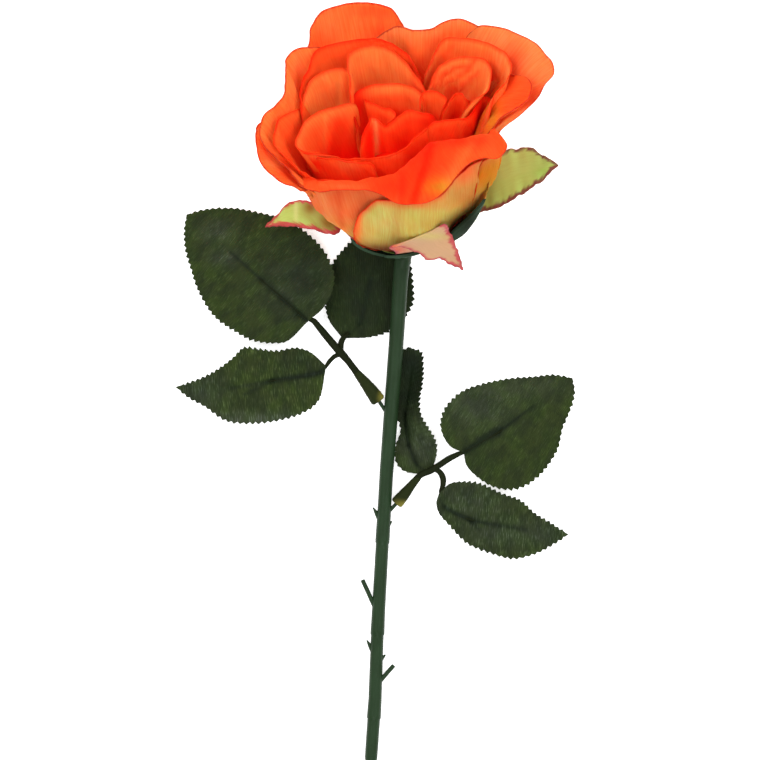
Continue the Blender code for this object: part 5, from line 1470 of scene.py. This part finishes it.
def places_on_threads(tree):
    """Places in mm on the flat cloth, across and along its threads."""
    return add_node(tree, "ShaderNodeUVMap", uv_map="threads").outputs[0]


def places_in_space(tree):
    """Places in metres."""
    return add_node(tree, "ShaderNodeTexCoord").outputs["Object"]


def new_material(name, roughness, specular, sheen=0.0, subsurface=0.0):
    """A material with a shader whose even values are set on it, its node tree and its shader."""
    surface = bpy.data.materials.new(name)
    surface.use_nodes = True
    shader = surface.node_tree.nodes["Principled BSDF"]
    shader.inputs["Roughness"].default_value = roughness
    shader.inputs["Specular IOR Level"].default_value = specular
    shader.inputs["Sheen Weight"].default_value = sheen
    shader.inputs["Subsurface Weight"].default_value = subsurface
    shader.inputs["Subsurface Radius"].default_value = SUBSURFACE_RADIUS
    shader.inputs["Subsurface Scale"].default_value = SUBSURFACE_SCALE
    return surface, surface.node_tree, shader


def finish_material(tree, shader, colour, height, depth):
    """Gives the shader its colour, and relief of a depth in mm from a height between 0 and 1."""
    tree.links.new(colour, shader.inputs["Base Color"])
    relief = add_node(tree, "ShaderNodeBump", {"Height": height, "Strength": 1.0,
                                               "Distance": depth * METRES_PER_MM})
    tree.links.new(relief.outputs[0], shader.inputs["Normal"])


def wave_along(tree, position, pitch):
    """A wave of this pitch along a position in mm."""
    return maths(tree, "SINE", maths(tree, "MULTIPLY", position, 2 * math.pi / pitch))


def weave(tree, threads):
    """A plain weave of threads, between 0 and 1."""
    parts = add_node(tree, "ShaderNodeSeparateXYZ", {0: threads})
    across, along = [wave_along(tree, parts.outputs[part], WEAVE_PITCH) for part in (0, 1)]
    return maths(tree, "MULTIPLY_ADD", maths(tree, "MULTIPLY", across, along), 0.5, 0.5)


def petal_material():
    """Woven petal cloth: streaked along its threads, a little uneven in dye, with a thin red rim."""
    surface, tree, shader = new_material("petal_cloth", roughness=0.8, specular=0.03, subsurface=0.6)
    threads = places_on_threads(tree)
    streak = scaled_noise(tree, threads, PETAL_STREAKS, detail=3.0)
    cloud = scaled_noise(tree, places_in_space(tree), PETAL_CLOUDS, detail=2.0)
    shaded = mixed(tree, mapped(tree, streak, *PETAL_STREAK_RANGE), stored(tree, "tint", "Color"),
                   PETAL_STREAK_SHADE, "MULTIPLY")
    clouded = mixed(tree, mapped(tree, cloud, *PETAL_CLOUD_RANGE), shaded, (*SCARLET, 1.0))
    ragged = plus_some(tree, stored(tree, "edge", "Fac"), streak, PETAL_RIM_RAGS)
    colour = mixed(tree, mapped(tree, ragged, *PETAL_RIM_RANGE), clouded, (*RIM_RED, 1.0))
    grain = plus_some(tree, weave(tree, threads), streak, PETAL_STREAK_RELIEF)
    finish_material(tree, shader, colour, grain, depth=0.08)
    return surface


def sepal_material():
    """Sepal cloth: faintly streaked, with a fine dark rim and a little sheen."""
    surface, tree, shader = new_material("sepal_cloth", roughness=0.7, specular=0.25, sheen=0.08)
    threads = places_on_threads(tree)
    streak = scaled_noise(tree, threads, SEPAL_STREAKS, detail=3.0)
    shaded = mixed(tree, mapped(tree, streak, *SEPAL_STREAK_RANGE), stored(tree, "tint", "Color"),
                   SEPAL_STREAK_DYE)
    ragged = plus_some(tree, stored(tree, "edge", "Fac"), streak, SEPAL_RIM_RAGS)
    colour = mixed(tree, mapped(tree, ragged, *SEPAL_RIM_RANGE), shaded, SEPAL_RIM_DYE)
    grain = plus_some(tree, weave(tree, threads), streak, SEPAL_STREAK_RELIEF)
    finish_material(tree, shader, colour, grain, depth=0.05)
    return surface


def leaf_material(name, glint):
    """Ribbed leaf cloth: fine raised threads one way, some paler as pale yarn and painted glints; dully
    shiny.
    """
    surface, tree, shader = new_material(name, roughness=0.65, specular=0.08)
    threads = places_on_threads(tree)
    parts = add_node(tree, "ShaderNodeSeparateXYZ", {0: threads})
    rib = wave_along(tree, parts.outputs[0], RIB_PITCH)
    streak = scaled_noise(tree, threads, LEAF_STREAKS, detail=6.0)
    cloud = scaled_noise(tree, threads, LEAF_CLOUDS, detail=3.0)
    patch = mapped(tree, scaled_noise(tree, threads, LEAF_PATCHES, detail=3.0), *LEAF_PATCH_RANGE)
    shaded = mixed(tree, patch, stored(tree, "tint", "Color"), (*LEAF_DARK, 1.0))
    toned = mixed(tree, mapped(tree, cloud, *LEAF_CLOUD_RANGE), shaded, LEAF_CLOUD_SHADE, "MULTIPLY")
    strength = maths(tree, "MULTIPLY", mapped(tree, streak, *LEAF_STREAK_RANGE, 0.0, glint),
                     mapped(tree, cloud, *LEAF_GLINT_RANGE))
    lit = mixed(tree, strength, toned, LEAF_PALE_THREAD_AND_GLINT, "MULTIPLY")
    ribbed = maths(tree, "MULTIPLY_ADD", rib, LEAF_RIB_RELIEF, 0.5)
    finish_material(tree, shader, lit, plus_some(tree, ribbed, streak, LEAF_STREAK_RELIEF), depth=0.09)
    return surface


def plastic_material(name, roughness, specular):
    """Moulded plastic: faint clouds of colour, fine lines along it and a dull shine."""
    surface, tree, shader = new_material(name, roughness, specular)
    place = places_in_space(tree)
    cloud = scaled_noise(tree, place, PLASTIC_CLOUDS, detail=4.0)
    toned = mixed(tree, mapped(tree, cloud, *PLASTIC_CLOUD_RANGE), stored(tree, "tint", "Color"),
                  PLASTIC_CLOUD_SHADE, "MULTIPLY")
    finish_material(tree, shader, toned, scaled_noise(tree, place, PLASTIC_GRAIN, detail=3.0), depth=0.05)
    return surface


def make_floor():
    """A plain pale floor that glows a little, so that it is as white as the surroundings."""
    shape = bmesh.new()
    bmesh.ops.create_grid(shape, x_segments=2, y_segments=2, size=FLOOR_WIDTH / 2)
    mesh = bpy.data.meshes.new("floor")
    shape.to_mesh(mesh)
    shape.free()
    surface, _, shader = new_material("floor_paper", roughness=0.9, specular=0.0)
    shader.inputs["Base Color"].default_value = FLOOR_COLOUR
    shader.inputs["Emission Color"].default_value = FLOOR_COLOUR
    shader.inputs["Emission Strength"].default_value = FLOOR_GLOW
    mesh.materials.append(surface)
    linked("floor", mesh)


def make_lights():
    """Soft boxes that look at the rose, and white surroundings."""
    for place, width, power in SOFT_BOXES:
        light = bpy.data.lights.new("soft_box", "AREA")
        light.size = width
        light.energy = power
        box = linked("soft_box", light)
        box.location = place
        box.rotation_euler = (-box.location).to_track_quat("-Z", "Y").to_euler()
        box.visible_camera = False
    room = bpy.data.worlds.new("room")
    room.use_nodes = True
    room.node_tree.nodes["Background"].inputs["Strength"].default_value = ROOM_LIGHT
    room.node_tree.nodes["Background"].inputs["Color"].default_value = WHITE
    bpy.context.scene.world = room


def make_camera():
    """A camera far above that looks straight down."""
    lens = bpy.data.cameras.new("camera")
    lens.sensor_width = SENSOR_WIDTH
    lens.lens = CAMERA_LENS
    distance = ROSE_LENGTH * CAMERA_LENS / SENSOR_WIDTH
    lens.clip_end = 3 * distance * METRES_PER_MM
    camera = linked("camera", lens)
    camera.location = on_drawing(*PICTURE_MIDDLE, SCALE_HEIGHT + distance) * METRES_PER_MM
    bpy.context.scene.camera = camera


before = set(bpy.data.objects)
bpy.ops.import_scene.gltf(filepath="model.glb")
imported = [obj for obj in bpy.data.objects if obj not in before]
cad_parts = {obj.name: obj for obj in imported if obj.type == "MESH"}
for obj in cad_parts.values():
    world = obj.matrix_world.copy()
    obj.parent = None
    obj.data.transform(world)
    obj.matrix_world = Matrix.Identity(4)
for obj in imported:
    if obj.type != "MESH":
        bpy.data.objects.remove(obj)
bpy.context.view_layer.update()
bpy.context.scene.view_settings.view_transform = "Standard"
petal_cloth = petal_material()
make_petals(petal_cloth)
make_core(petal_cloth)
make_sepals(sepal_material())
make_leaves(leaf_material("leaf_cloth", glint=0.5), leaf_material("bright_leaf_cloth", glint=1.05))
make_stem(plastic_material("stem_plastic", roughness=0.42, specular=0.12))
make_stalks(plastic_material("stalk_plastic", roughness=0.6, specular=0.04))
make_cup(plastic_material("cup_plastic", roughness=0.6, specular=0.005))
make_floor()
make_lights()
make_camera()
